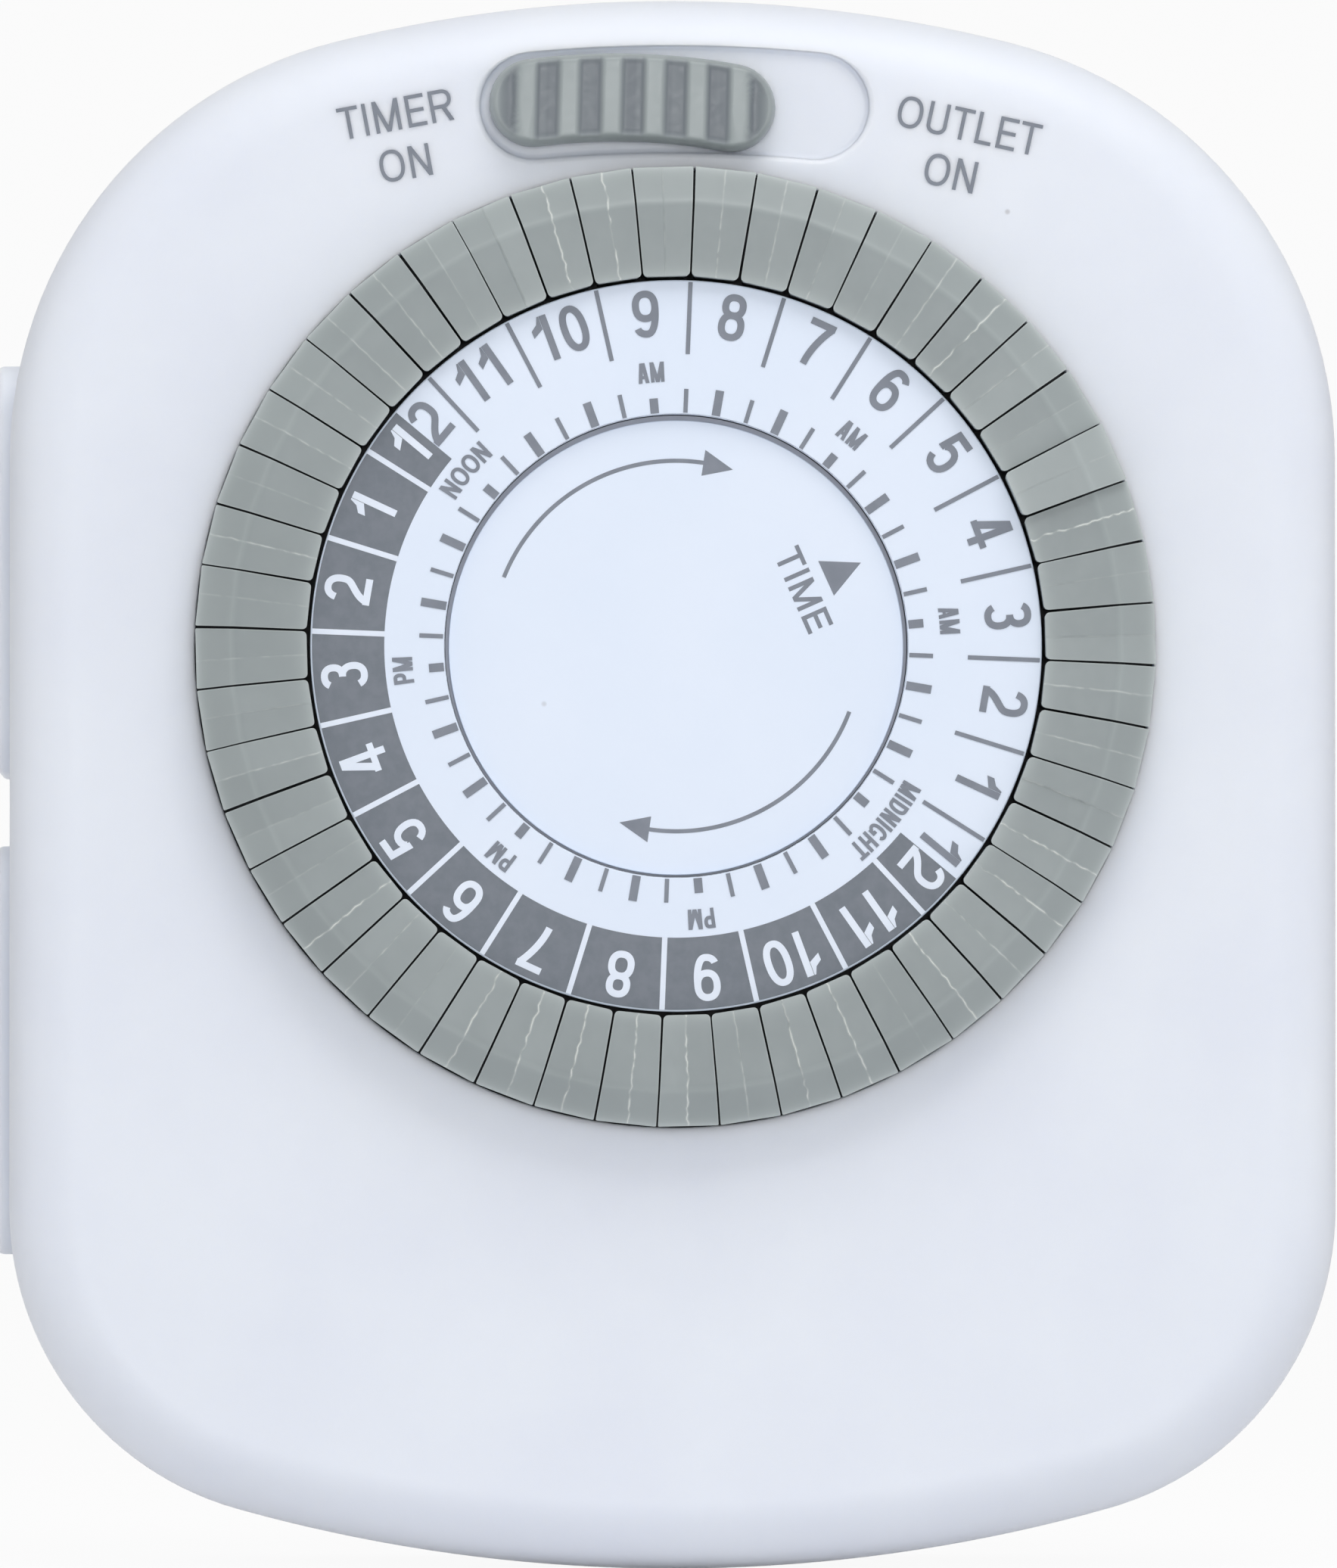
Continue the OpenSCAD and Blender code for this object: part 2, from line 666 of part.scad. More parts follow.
// A bent knob with upright finger ribs; its neck passes the recess's floor, and the foot below it holds
// the finger that reaches over the lever's tail at the far end of the travel
module slide_knob() {
    knob_bottom_z = floor_top_z + slide_fit;
    knob_top_z = body_d + knob_proud;
    foot_half = (knob_l - knob_h) / 2;
    foot_top_z = slide_foot_z + slide_foot_t;
    finger_tip = [lever_x - slide_travel / 2, tail_y - tail_l / 2 - slide_y];
    color("gray") upright() translate([-slide_travel / 2, slide_y, 0]) {
        plate(bent_slot(knob_bend_r, knob_l, knob_h), knob_bottom_z, knob_top_z - rib_h);
        intersection() {
            plate(bent_slot(knob_bend_r, knob_l, knob_h), knob_bottom_z, knob_top_z);
            for (i = [0:knob_ribs - 1])
                translate([rib_pitch * (i - (knob_ribs - 1) / 2), 0, 0])
                    block([-rib_w / 2, -knob_h, knob_bottom_z], [rib_w / 2, knob_h, knob_top_z]);
        }
        plate(
            straight_slot([-neck_l / 2, 0], [neck_l / 2, 0], neck_h),
            slide_foot_z, knob_bottom_z + overlap
        );
        plate(straight_slot([-foot_half, 0], [foot_half, 0], knob_h), slide_foot_z, foot_top_z);
        plate(straight_slot([0, 0], finger_tip, neck_h), slide_foot_z, foot_top_z);
    }
}

module follower_lever() {
    x0 = lever_x - lever_w / 2;
    x1 = lever_x + lever_w / 2;
    heel = 3;
    color("ivory") upright() {
        block([x0, pivot_y - heel, lever_top_z - lever_t], [x1, tail_y, lever_top_z]);
        block([x0, nose_y - nose_l / 2, lever_top_z - overlap], [x1, nose_y + nose_l / 2, nose_top_z]);
        block([x0, tail_y - tail_l, lever_top_z - overlap], [x1, tail_y, slide_foot_z - free_gap]);
        translate([lever_x, pivot_y, pivot_z]) rotate([0, 90, 0])
            cylinder(r = trunnion_r, h = trunnion_l - 2 * overlap, center = true);
    }
}

module timer_motor() {
    lid_step = 1;
    boss_wall = 1.6;
    boss_below_gear = 0.7;
    bearing_depth = 2;
    ear_half = 2;
    ear_z = peg_foot_z + seat_fit;
    color("silver") upright() difference() {
        union() {
            bar([motor_x, motor_y], motor_r, motor_base_z, lid_z);
            bar([motor_x, motor_y], motor_r - lid_step, lid_z - overlap, lid_z + lid_h);
            bar([0, pinion_y], shaft_r + boss_wall, lid_z, gear_bottom_z - boss_below_gear);
            for (side = [-1, 1]) {
                bar([motor_x + side * peg_x, motor_y], peg_foot_r, ear_z, ear_z + ear_t);
                translate([motor_x, motor_y, 0]) mirror([(1 - side) / 2, 0, 0])
                    block([motor_r - past, -ear_half, ear_z], [peg_x, ear_half, ear_z + ear_t]);
            }
        }
        bar([0, pinion_y], shaft_r + running_fit, lid_z - bearing_depth, gear_bottom_z);
        for (side = [-1, 1])
            bar([motor_x + side * peg_x, motor_y], peg_r + seat_fit, ear_z - past, ear_z + ear_t + past);
    }
}

module drive_gear() {
    shaft_depth = 1.8;
    color("ivory") upright() translate([0, pinion_y, 0]) {
        rotate(90 + 180 / pinion_teeth)
            plate(gear_outline(pinion_teeth), gear_bottom_z - overlap, gear_top_z + overlap);
        bar([0, 0], shaft_r, lid_z - shaft_depth, gear_top_z);
    }
}

// A plug blade with a tapered tip and a hole, from behind the wall plane up to z1
module blade(x, w, z1) {
    taper = 1.2;
    hole_from_tip = 4;
    translate([x, 0, 0]) difference() {
        rotate([90, 0, 90]) linear_extrude(blade_t, center = true) polygon([
            [-w / 2, z1], [-w / 2, taper - blade_l], [taper - w / 2, -blade_l],
            [w / 2 - taper, -blade_l], [w / 2, taper - blade_l], [w / 2, z1]
        ]);
        translate([0, 0, hole_from_tip - blade_l]) rotate([0, 90, 0])
            cylinder(r = blade_hole_r, h = blade_t + past, center = true);
    }
}

// Bus with two clips, each gripping a blade whose middle lies at height z
module outlet_bus(z) {
    low = z - blade_t / 2 - grip - strip_t;
    high = z + blade_t / 2 + grip;
    block(
        [bus_x, outlet_ys[1] - clip_h / 2, low],
        [bus_end_x, outlet_ys[0] + clip_h / 2, low + strip_t]
    );
    for (y = outlet_ys) {
        block([bus_x, y - clip_h / 2, low], [clip_end_x, y + clip_h / 2, low + strip_t]);
        block([bus_x, y - clip_h / 2, high], [clip_end_x, y + clip_h / 2, high + strip_t]);
        block([clip_end_x - strip_t, y - clip_h / 2, low], [clip_end_x, y + clip_h / 2, high + strip_t]);
    }
}

module neutral_strip() {
    arm_w = neutral_blade_w;
    color("goldenrod") upright() {
        blade(-blade_pitch / 2, neutral_blade_w, plug_strip_z + strip_t);
        block(
            [bus_end_x, -arm_w / 2, plug_strip_z],
            [-blade_pitch / 2 + blade_t / 2, arm_w / 2, plug_strip_z + strip_t]
        );
        block(
            [bus_end_x, outlet_ys[0], plug_strip_z],
            [clip_end_x, arm_w / 2, plug_strip_z + strip_t]
        );
        outlet_bus(neutral_z);
    }
}

module line_strip() {
    riser_x = lever_x + leaf_w / 2;
    tab_z = fixed_contact_z - rivet_h - strip_t;
    color("goldenrod") upright() {
        blade(blade_pitch / 2, line_blade_w, plug_strip_z + strip_t);
        block(
            [blade_pitch / 2 - blade_t / 2, -line_blade_w / 2, plug_strip_z],
            [riser_x, line_blade_w / 2, plug_strip_z + strip_t]
        );
        block(
            [riser_x - strip_t, leaf_y - leaf_w / 2, plug_strip_z],
            [riser_x, leaf_y + leaf_w / 2, tab_z + strip_t]
        );
        block(
            [lever_x - leaf_w / 2, leaf_y - leaf_w / 2, tab_z],
            [riser_x, leaf_y + leaf_w / 2, tab_z + strip_t]
        );
        bar([lever_x, leaf_y], rivet_r, tab_z + strip_t - overlap, fixed_contact_z);
    }
}

module load_strip() {
    low = load_z - blade_t / 2 - grip - strip_t;
    riser_x = clip_end_x + strip_t;
    color("goldenrod") upright() {
        outlet_bus(load_z);
        block(
            [bus_end_x, outlet_ys[0], low],
            [clip_end_x, leaf_y + leaf_w / 2, low + strip_t]
        );
        block(
            [bus_end_x, leaf_y - leaf_w / 2, low],
            [riser_x, leaf_y + leaf_w / 2, low + strip_t]
        );
        block(
            [riser_x - strip_t, leaf_y - leaf_w / 2, leaf_bottom_z],
            [riser_x, leaf_y + leaf_w / 2, low + strip_t]
        );
        block(
            [riser_x - strip_t, leaf_y - leaf_w / 2, leaf_bottom_z],
            [lever_x + leaf_w / 2, leaf_y + leaf_w / 2, leaf_top_z]
        );
        bar([lever_x, leaf_y], rivet_r, leaf_bottom_z - rivet_h, leaf_bottom_z + overlap);
    }
}

module cover_screws() {
    recess_w = 0.7;
    recess_l = 3;
    recess_depth = 1;
    color("silver") upright() for (p = screw_places) difference() {
        union() {
            bar(p, head_r, screw_seat - head_h, screw_seat - seat_fit / 2);
            bar(p, shank_r, screw_seat - head_h, screw_seat + shank_l);
        }
        for (turn = [0, 90])
            translate([p.x, p.y, screw_seat - head_h]) rotate(turn)
                cube([recess_l, recess_w, 2 * recess_depth], center = true);
    }
}

front_cover();
rear_cover();
dial_wheel();
centre_disc();
slide_knob();
follower_lever();
timer_motor();
drive_gear();
neutral_strip();
line_strip();
load_strip();
cover_screws();
for (k = [0:tappets - 1])
    tappet(k);
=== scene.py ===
# %% [markdown]
# # A plug-in timer with a dial of tappets
# The object is a white moulded box that hangs on a wall outlet. Its front carries a dial with 48 grey
# tappets, a ribbed slide and a few printed words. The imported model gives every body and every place, and
# this lesson dresses it: soft edges, print, mould marks and finishes.

# %% Frame
import json
import math

import bmesh
import bpy
import numpy as np
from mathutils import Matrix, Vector
from mathutils.geometry import delaunay_2d_cdt

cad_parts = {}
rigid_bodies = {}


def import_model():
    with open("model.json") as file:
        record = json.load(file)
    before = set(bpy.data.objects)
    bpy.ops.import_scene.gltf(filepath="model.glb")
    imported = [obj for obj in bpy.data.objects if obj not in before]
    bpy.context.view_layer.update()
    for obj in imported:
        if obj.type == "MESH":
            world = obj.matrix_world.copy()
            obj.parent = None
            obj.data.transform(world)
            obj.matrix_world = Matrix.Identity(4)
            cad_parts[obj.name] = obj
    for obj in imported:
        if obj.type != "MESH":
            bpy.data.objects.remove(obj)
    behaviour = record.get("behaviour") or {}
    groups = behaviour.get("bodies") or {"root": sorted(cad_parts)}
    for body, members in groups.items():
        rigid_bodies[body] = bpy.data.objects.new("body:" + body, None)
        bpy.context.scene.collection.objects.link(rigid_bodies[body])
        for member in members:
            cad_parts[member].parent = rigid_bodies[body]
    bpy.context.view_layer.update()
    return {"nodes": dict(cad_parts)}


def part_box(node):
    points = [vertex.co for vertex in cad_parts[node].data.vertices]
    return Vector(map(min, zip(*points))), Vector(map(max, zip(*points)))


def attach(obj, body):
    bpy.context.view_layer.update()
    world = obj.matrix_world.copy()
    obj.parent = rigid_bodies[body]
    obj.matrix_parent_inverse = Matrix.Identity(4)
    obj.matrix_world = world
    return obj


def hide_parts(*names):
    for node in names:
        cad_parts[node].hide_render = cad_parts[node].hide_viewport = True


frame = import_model()

# %% [markdown]
# ## Drawing coordinates
# A front panel is easiest to think about as a drawing: x to the right, y up and z out of the wall, in
# millimetres. One function then stands the drawing up in the frame, where the dial faces -Y. Every object
# keeps its origin at the frame's origin, so that patterns on Object coordinates stay put.

# %% Drawing coordinates
MM = 0.001


def stand(points):
    """Drawing millimetres to the frame's metres: x stays, y becomes height, and z becomes minus Y."""
    points = np.asarray(points, float)
    return np.stack([points[..., 0], -points[..., 2], points[..., 1]], -1) * MM


def drawn_box(node):
    """Lowest and highest corner of a CAD node, turned back into drawing millimetres."""
    low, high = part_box(node)
    return np.array([low.x, low.z, -high.y]) / MM, np.array([high.x, high.z, -low.y]) / MM


cover_low, cover_high = drawn_box("front_cover")
dial_low, dial_high = drawn_box("dial_wheel")
half_w, top_y, face_z = cover_high
bottom_y = cover_low[1]
dial_y = (dial_low[1] + dial_high[1]) / 2
scale_z = dial_high[2]
print(f"body {2 * half_w:.1f} x {top_y - bottom_y:.1f} x {face_z:.1f} mm, dial centre at y {dial_y:.1f}")

# %% [markdown]
# ## Surfaces from arrays
# Each shape is a grid of points, worked out as whole arrays, with quads between neighbours. A loft is a row
# of closed rings, a tube is four rings that close on themselves, and a turned shape is a profile carried
# round an axis. A patch is a pair: its points and a list of face arrays.

# %% Grids and patches
MERGE = 1e-6


def grid_faces(rows, cols, close_rows=False, close_cols=False):
    """Quads of a grid numbered row by row: a point, its neighbour and the two behind them in the next row.
    A closed direction also joins the last row or column to the first."""
    i, j = np.meshgrid(np.arange(rows - 1 + close_rows), np.arange(cols - 1 + close_cols), indexing="ij")
    i, j = i.ravel(), j.ravel()
    k, m = (i + 1) % rows, (j + 1) % cols
    return np.stack([i * cols + j, i * cols + m, k * cols + m, k * cols + j], 1)


def level(plan, z):
    """Lifts plan points to a height."""
    plan = np.asarray(plan, float)
    return np.column_stack([plan, np.full(len(plan), z)])


def loft(rings):
    """Skin through closed rings of equal length, one after the other, with a flat cap on the first and
    last."""
    rings = np.asarray(rings, float)
    rows, cols = rings.shape[:2]
    ring = np.arange(cols)[None]
    faces = [grid_faces(rows, cols, close_cols=True), ring[:, ::-1], (rows - 1) * cols + ring]
    return rings.reshape(-1, 3), faces


def prism(plan, low, high):
    """A plan carried straight up from one height to another."""
    return loft([level(plan, low), level(plan, high)])


def tube(outer, inner, low, high):
    """A wall between two plans of equal length: outer low, outer high, inner high, inner low, and closed."""
    rings = np.stack([level(outer, low), level(outer, high), level(inner, high), level(inner, low)])
    return rings.reshape(-1, 3), [grid_faces(4, len(outer), True, True)]


def turned(profile, centre, steps=128):
    """A profile of radius and height carried once round an upright axis; points at radius 0 close the
    poles."""
    r, z = np.asarray(profile, float).T
    a = np.linspace(0, 2 * np.pi, steps, endpoint=False)
    x = centre[0] + np.outer(r, np.cos(a))
    y = centre[1] + np.outer(r, np.sin(a))
    points = np.stack([x, y, np.repeat(z[:, None], steps, 1)], -1)
    return points.reshape(-1, 3), [grid_faces(len(r), steps, close_cols=True)]


def join(*patches):
    """Several patches as one, with each patch's face numbers moved past the points before it."""
    starts = np.cumsum([0] + [len(points) for points, _ in patches])
    faces = [array + start for (_, arrays), start in zip(patches, starts) for array in arrays]
    return np.concatenate([points for points, _ in patches]), faces


# %% Plans
def arc(centre, radius, start, stop, count):
    """Points on an arc about a centre, in degrees against the clock from the right, both ends included."""
    a = np.radians(np.linspace(start, stop, count + 1))
    return np.asarray(centre) + radius * np.stack([np.cos(a), np.sin(a)], -1)


def turn(plan, degrees):
    """Plan points turned against the clock about the middle."""
    a = math.radians(degrees)
    return plan @ np.array([[math.cos(a), math.sin(a)], [-math.sin(a), math.cos(a)]])


def circle(centre, radius, count=64):
    """A closed circle, its last point left out because it is the first one."""
    return arc(centre, radius, 0, 360, count)[:-1]


def rectangle(low, high):
    """The four corners of an upright rectangle, against the clock."""
    return np.array([[low[0], low[1]], [high[0], low[1]], [high[0], high[1]], [low[0], high[1]]], float)


def round_rectangle(width, height, radius, count=8):
    """A rectangle about the middle whose corners are quarter circles."""
    x, y = width / 2 - radius, height / 2 - radius
    corners = [((x, y), 0), ((-x, y), 90), ((-x, -y), 180), ((x, -y), 270)]
    return np.concatenate([arc(c, radius, a, a + 90, count) for c, a in corners])


def bent_slot(centre, bend_r, length, height, along=40, round_end=16):
    """A slot with round ends whose middle line is an arc, bent down at both ends: an inner and an outer arc
    about a point one bend radius below the middle, joined by half circles."""
    axis = np.asarray(centre) - [0, bend_r]
    a = math.degrees(math.asin((length - height) / 2 / bend_r))
    tip = bend_r * np.array([math.sin(math.radians(a)), math.cos(math.radians(a))])
    return np.concatenate([
        arc(axis, bend_r - height / 2, 90 + a, 90 - a, along),
        arc(axis + tip, height / 2, 270 - a, 450 - a, round_end)[1:-1],
        arc(axis, bend_r + height / 2, 90 - a, 90 + a, along),
        arc(axis + tip * [-1, 1], height / 2, 90 + a, 270 + a, round_end)[1:-1],
    ])


def straight_slot(a, b, height, round_end=16):
    """A slot with round ends about two points."""
    way = math.degrees(math.atan2(b[1] - a[1], b[0] - a[0]))
    return np.concatenate([
        arc(b, height / 2, way - 90, way + 90, round_end), arc(a, height / 2, way + 90, way + 270, round_end)
    ])


# %% Patch to object
SHARP_ANGLE = 35.0
BEVEL_ANGLE = 50.0
BEVEL_SEGMENTS = 3


def new_object(name, patch, **attributes):
    """A mesh object from one patch. Points within a micron are merged, which closes seams and poles, and
    faces are then turned outwards. Attributes are one number for each point."""
    points, faces = patch
    mesh = bpy.data.meshes.new(name)
    mesh.from_pydata(stand(points).tolist(), [], [face for array in faces for face in array.tolist()])
    for key, values in attributes.items():
        mesh.attributes.new(key, "FLOAT", "POINT").data.foreach_set("value", np.asarray(values, np.float32))
    bm = bmesh.new()
    bm.from_mesh(mesh)
    bmesh.ops.remove_doubles(bm, verts=bm.verts, dist=MERGE)
    bmesh.ops.recalc_face_normals(bm, faces=bm.faces)
    bm.to_mesh(mesh)
    bm.free()
    piece = bpy.data.objects.new(name, mesh)
    bpy.context.scene.collection.objects.link(piece)
    return piece


def carve(piece, operation, patches):
    """Joins or cuts closed patches with one exact Boolean, keeps the result as the piece's mesh, and
    removes the shapes that were only needed for it."""
    tools = bpy.data.collections.new("tools")
    bpy.context.scene.collection.children.link(tools)
    for patch in patches:
        tool = new_object("tool", patch)
        bpy.context.scene.collection.objects.unlink(tool)
        tools.objects.link(tool)
    modifier = piece.modifiers.new(operation, "BOOLEAN")
    modifier.operation = operation
    modifier.solver = "EXACT"
    modifier.operand_type = "COLLECTION"
    modifier.collection = tools
    carved = bpy.data.meshes.new_from_object(piece.evaluated_get(bpy.context.evaluated_depsgraph_get()))
    piece.modifiers.clear()
    piece.data = carved
    for tool in list(tools.objects):
        bpy.data.objects.remove(tool)
    bpy.data.collections.remove(tools)
    return piece


def dress(piece, material, body, replaced=(), sharp=SHARP_ANGLE, bevel=0.0):
    """Smooth shading with sharp edges past an angle, an optional small bevel in millimetres, weighted
    normals that keep flat faces flat, the material, the body that the piece rides on, and the CAD nodes that
    it replaces, which are hidden."""
    mesh = piece.data
    mesh.materials.clear()
    mesh.materials.append(material)
    mesh.polygons.foreach_set("use_smooth", np.ones(len(mesh.polygons), bool))
    mesh.polygons.foreach_set("material_index", np.zeros(len(mesh.polygons), np.int32))
    if bevel:
        edge = piece.modifiers.new("Edge", "BEVEL")
        edge.width = bevel * MM
        edge.segments = BEVEL_SEGMENTS
        edge.limit_method = "ANGLE"
        edge.angle_limit = math.radians(BEVEL_ANGLE)
    else:
        mesh.set_sharp_from_angle(angle=math.radians(sharp))
    normals = piece.modifiers.new("Flat faces", "WEIGHTED_NORMAL")
    normals.keep_sharp = True
    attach(piece, body)
    if replaced:
        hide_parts(*replaced)
    return piece


# %% [markdown]
# ## Finishes
# All the plastics share one effect: a soft mottle in the colour, a fine moulded grain, and a few specks of
# dust. It could be copied into each material, but as a node group it is built once, and each material only
# says how large its grain is. Metals share a second group, long faint scratches from rolling and handling.

# %% Node helpers
def linear(red, green, blue):
    """A colour given as 0 to 255 screen values, turned into the scene's linear light."""
    c = np.array([red, green, blue]) / 255
    c = np.where(c <= 0.04045, c / 12.92, ((c + 0.055) / 1.055) ** 2.4)
    return (*c.tolist(), 1.0)


def feed(tree, sockets, values):
    """Gives inputs their values: a link where the value is a socket, or else the plain number or colour."""
    for socket, value in zip(sockets, values):
        if hasattr(value, "links"):
            tree.links.new(value, socket)
        else:
            socket.default_value = value


def add_node(tree, kind, **values):
    """A node whose own properties, or else its inputs by name, take the given values."""
    node = tree.nodes.new(kind)
    for key, value in values.items():
        if hasattr(node, key):
            setattr(node, key, value)
        else:
            feed(tree, [node.inputs[key]], [value])
    return node


def math_node(tree, operation, a, b):
    """One sum: each side is a socket or a plain number."""
    node = add_node(tree, "ShaderNodeMath", operation=operation)
    feed(tree, node.inputs, (a, b))
    return node.outputs[0]


def mix_colour(tree, factor, a, b):
    """Mixes two colours, each a socket or a plain colour, by a factor socket."""
    node = add_node(tree, "ShaderNodeMix", data_type="RGBA", Factor=factor)
    feed(tree, node.inputs[6:8], (a, b))
    return node.outputs[2]


def map_range(tree, value, low, high, to_low=0.0, to_high=1.0):
    """Stretches a value from one range to another and clamps it there."""
    node = add_node(tree, "ShaderNodeMapRange", clamp=True)
    keys = ("Value", "From Min", "From Max", "To Min", "To Max")
    feed(tree, [node.inputs[key] for key in keys], (value, low, high, to_low, to_high))
    return node.outputs["Result"]


# %% Shared effects
MOULDED_SCALES = {"Mottle Scale": 90.0, "Grain Scale": 2600.0, "Speck Scale": 160.0}
SPECK_EDGE = (0.03, 0.012)
SPECK_RARITY = 0.8
ROLLED_SCALES = {"Scratch Scale": 900.0}
ROLLED_STRETCH = (1.0, 0.05, 1.0)
STAIN_SCALE = 180.0


def new_group(name, inputs, outputs):
    """An empty shader group with named number sockets: its tree, what it is given, what it puts out, and
    the place on the object."""
    tree = bpy.data.node_groups.new(name, "ShaderNodeTree")
    for key, value in inputs.items():
        socket = tree.interface.new_socket(key, in_out="INPUT", socket_type="NodeSocketFloat")
        socket.default_value = value
    for key in outputs:
        tree.interface.new_socket(key, in_out="OUTPUT", socket_type="NodeSocketFloat")
    given, out = tree.nodes.new("NodeGroupInput"), tree.nodes.new("NodeGroupOutput")
    place = tree.nodes.new("ShaderNodeTexCoord").outputs["Object"]
    return tree, given.outputs, out.inputs, place


def noise(tree, place, scale, detail):
    """A soft noise at a place; the scale is a socket or a number."""
    return add_node(tree, "ShaderNodeTexNoise", Vector=place, Scale=scale, Detail=detail).outputs["Fac"]


def moulded_group():
    """Mottle is a wide soft noise, Grain a fine one, and Specks are rare dots where a cell's point is near
    and its random value is high."""
    tree, given, out, place = new_group("moulded surface", MOULDED_SCALES, ("Mottle", "Grain", "Specks"))
    cells = add_node(tree, "ShaderNodeTexVoronoi", Vector=place, Scale=given["Speck Scale"])
    dots = map_range(tree, cells.outputs["Distance"], *SPECK_EDGE)
    hue = add_node(tree, "ShaderNodeSeparateColor", Color=cells.outputs["Color"])
    rare = math_node(tree, "GREATER_THAN", hue.outputs[0], SPECK_RARITY)
    feed(tree, out, [
        noise(tree, place, given["Mottle Scale"], 3.0),
        noise(tree, place, given["Grain Scale"], 2.0),
        math_node(tree, "MULTIPLY", dots, rare),
    ])
    return tree


def rolled_group():
    """Scratches are a noise stretched twenty times along one direction; Stain is a wide soft noise."""
    tree, given, out, place = new_group("rolled metal", ROLLED_SCALES, ("Scratches", "Stain"))
    stretch = add_node(tree, "ShaderNodeMapping", Vector=place, Scale=ROLLED_STRETCH)
    scratches = noise(tree, stretch.outputs["Vector"], given["Scratch Scale"], 4.0)
    feed(tree, out, [scratches, noise(tree, place, STAIN_SCALE, 3.0)])
    return tree


moulded = moulded_group()
rolled = rolled_group()
print("shared effects", moulded.name, "and", rolled.name)


# %% Plastics and print
MILKY_DEPTH = 0.8
MOTTLE_RANGE = (0.35, 0.65)
NOISE_RANGE = (0.3, 0.7)
GRAIN_ROUGH = 0.05
GRAIN_DEPTH = 0.01
DUST = (120, 112, 105)


def start_material(name, group, **sizes):
    """A material with one shared effect placed in it: its tree, the effect's outputs and its shader's
    inputs."""
    material = bpy.data.materials.new(name)
    material.use_nodes = True
    tree = material.node_tree
    effect = add_node(tree, "ShaderNodeGroup", node_tree=group)
    for key, value in sizes.items():
        effect.inputs[key.replace("_", " ")].default_value = value
    return material, tree, effect.outputs, tree.nodes["Principled BSDF"].inputs


def relief(tree, shader, height, strength, depth):
    """A bump from a height that feeds the shader's normal; depth is in millimetres."""
    bump = add_node(tree, "ShaderNodeBump", Strength=strength, Distance=depth * MM, Height=height)
    tree.links.new(bump.outputs["Normal"], shader["Normal"])


def plastic(name, light, dark, rough, grain=0.25, specks=0.0, shades=(), milky=0.0, **sizes):
    """Moulded plastic: the colour wanders between a light and a dark tone, specks darken it, and each shade
    is an attribute with the colour that the surface takes where the attribute is 1. A milky plastic lets
    light wander about under its surface, which softens shadows."""
    material, tree, effect, shader = start_material(name, moulded, **sizes)
    shader["Subsurface Weight"].default_value = milky
    shader["Subsurface Radius"].default_value = (1.0, 1.0, 1.0)
    shader["Subsurface Scale"].default_value = MILKY_DEPTH * MM
    mottle = map_range(tree, effect["Mottle"], *MOTTLE_RANGE)
    colour = mix_colour(tree, mottle, linear(*light), linear(*dark))
    for key, shade in shades:
        attribute = add_node(tree, "ShaderNodeAttribute", attribute_name=key)
        colour = mix_colour(tree, attribute.outputs["Fac"], colour, linear(*shade))
    if specks:
        dust = math_node(tree, "MULTIPLY", effect["Specks"], specks)
        colour = mix_colour(tree, dust, colour, linear(*DUST))
    tree.links.new(colour, shader["Base Color"])
    roughness = map_range(tree, effect["Grain"], *NOISE_RANGE, rough - GRAIN_ROUGH, rough + GRAIN_ROUGH)
    tree.links.new(roughness, shader["Roughness"])
    relief(tree, shader, effect["Grain"], grain, GRAIN_DEPTH)
    return material


housing_white = plastic("housing white", (232, 236, 244), (229, 233, 242), 0.48, specks=0.35, milky=1.0)
# Its second colour, on the ledge round the centre disc, is painted shadow in the groove.
label_white = plastic(
    "label white", (226, 235, 249), (223, 233, 248), 0.6, grain=0.1, specks=0.25,
    shades=[("ledge", (176, 181, 193))],
)
# Tappet colours: a random darker tone, a random lighter tone that also carries painted highlights, and the
# fin's light line.
tappet_grey = plastic(
    "tappet grey", (144, 152, 153), (139, 147, 148), 0.45, Mottle_Scale=260.0,
    shades=[("shade", (128, 136, 138)), ("pale", (178, 186, 186)), ("flash", (222, 226, 222))],
)
# The second colour is painted shade in the valleys between the ribs.
slide_grey = plastic(
    "slide grey", (157, 165, 166), (152, 160, 161), 0.4, Mottle_Scale=260.0,
    shades=[("valley", (103, 110, 117))],
)
print_grey = plastic("print grey", (122, 128, 139), (129, 135, 146), 0.6, Mottle_Scale=900.0)
print_dark = plastic("print band grey", (111, 118, 127), (118, 124, 133), 0.6, Mottle_Scale=1500.0)
print_white = plastic("print white", (228, 236, 248), (224, 232, 245), 0.6, Mottle_Scale=900.0)
wheel_grey = plastic("wheel grey", (52, 54, 58), (60, 62, 66), 0.5)
nylon = plastic("natural nylon", (236, 230, 214), (228, 221, 203), 0.4)
print("plastics from", housing_white.name, "to", nylon.name)

# %% Metals
SCRATCH_ROUGH = (-0.08, 0.1)
SCRATCH_STRENGTH = 0.2
SCRATCH_DEPTH = 0.006


def metal(name, light, dark, rough):
    """Bare metal: stains move the colour between two tones, and scratches the roughness and the normal."""
    material, tree, effect, shader = start_material(name, rolled)
    shader["Metallic"].default_value = 1.0
    stain = map_range(tree, effect["Stain"], *NOISE_RANGE)
    tree.links.new(mix_colour(tree, stain, linear(*light), linear(*dark)), shader["Base Color"])
    low, high = [rough + change for change in SCRATCH_ROUGH]
    tree.links.new(map_range(tree, effect["Scratches"], *NOISE_RANGE, low, high), shader["Roughness"])
    relief(tree, shader, effect["Scratches"], SCRATCH_STRENGTH, SCRATCH_DEPTH)
    return material


brass = metal("stamped brass", (214, 182, 112), (196, 160, 92), 0.3)
zinc = metal("zinc-plated steel", (186, 189, 194), (166, 170, 176), 0.34)
print("metals", brass.name, "and", zinc.name)

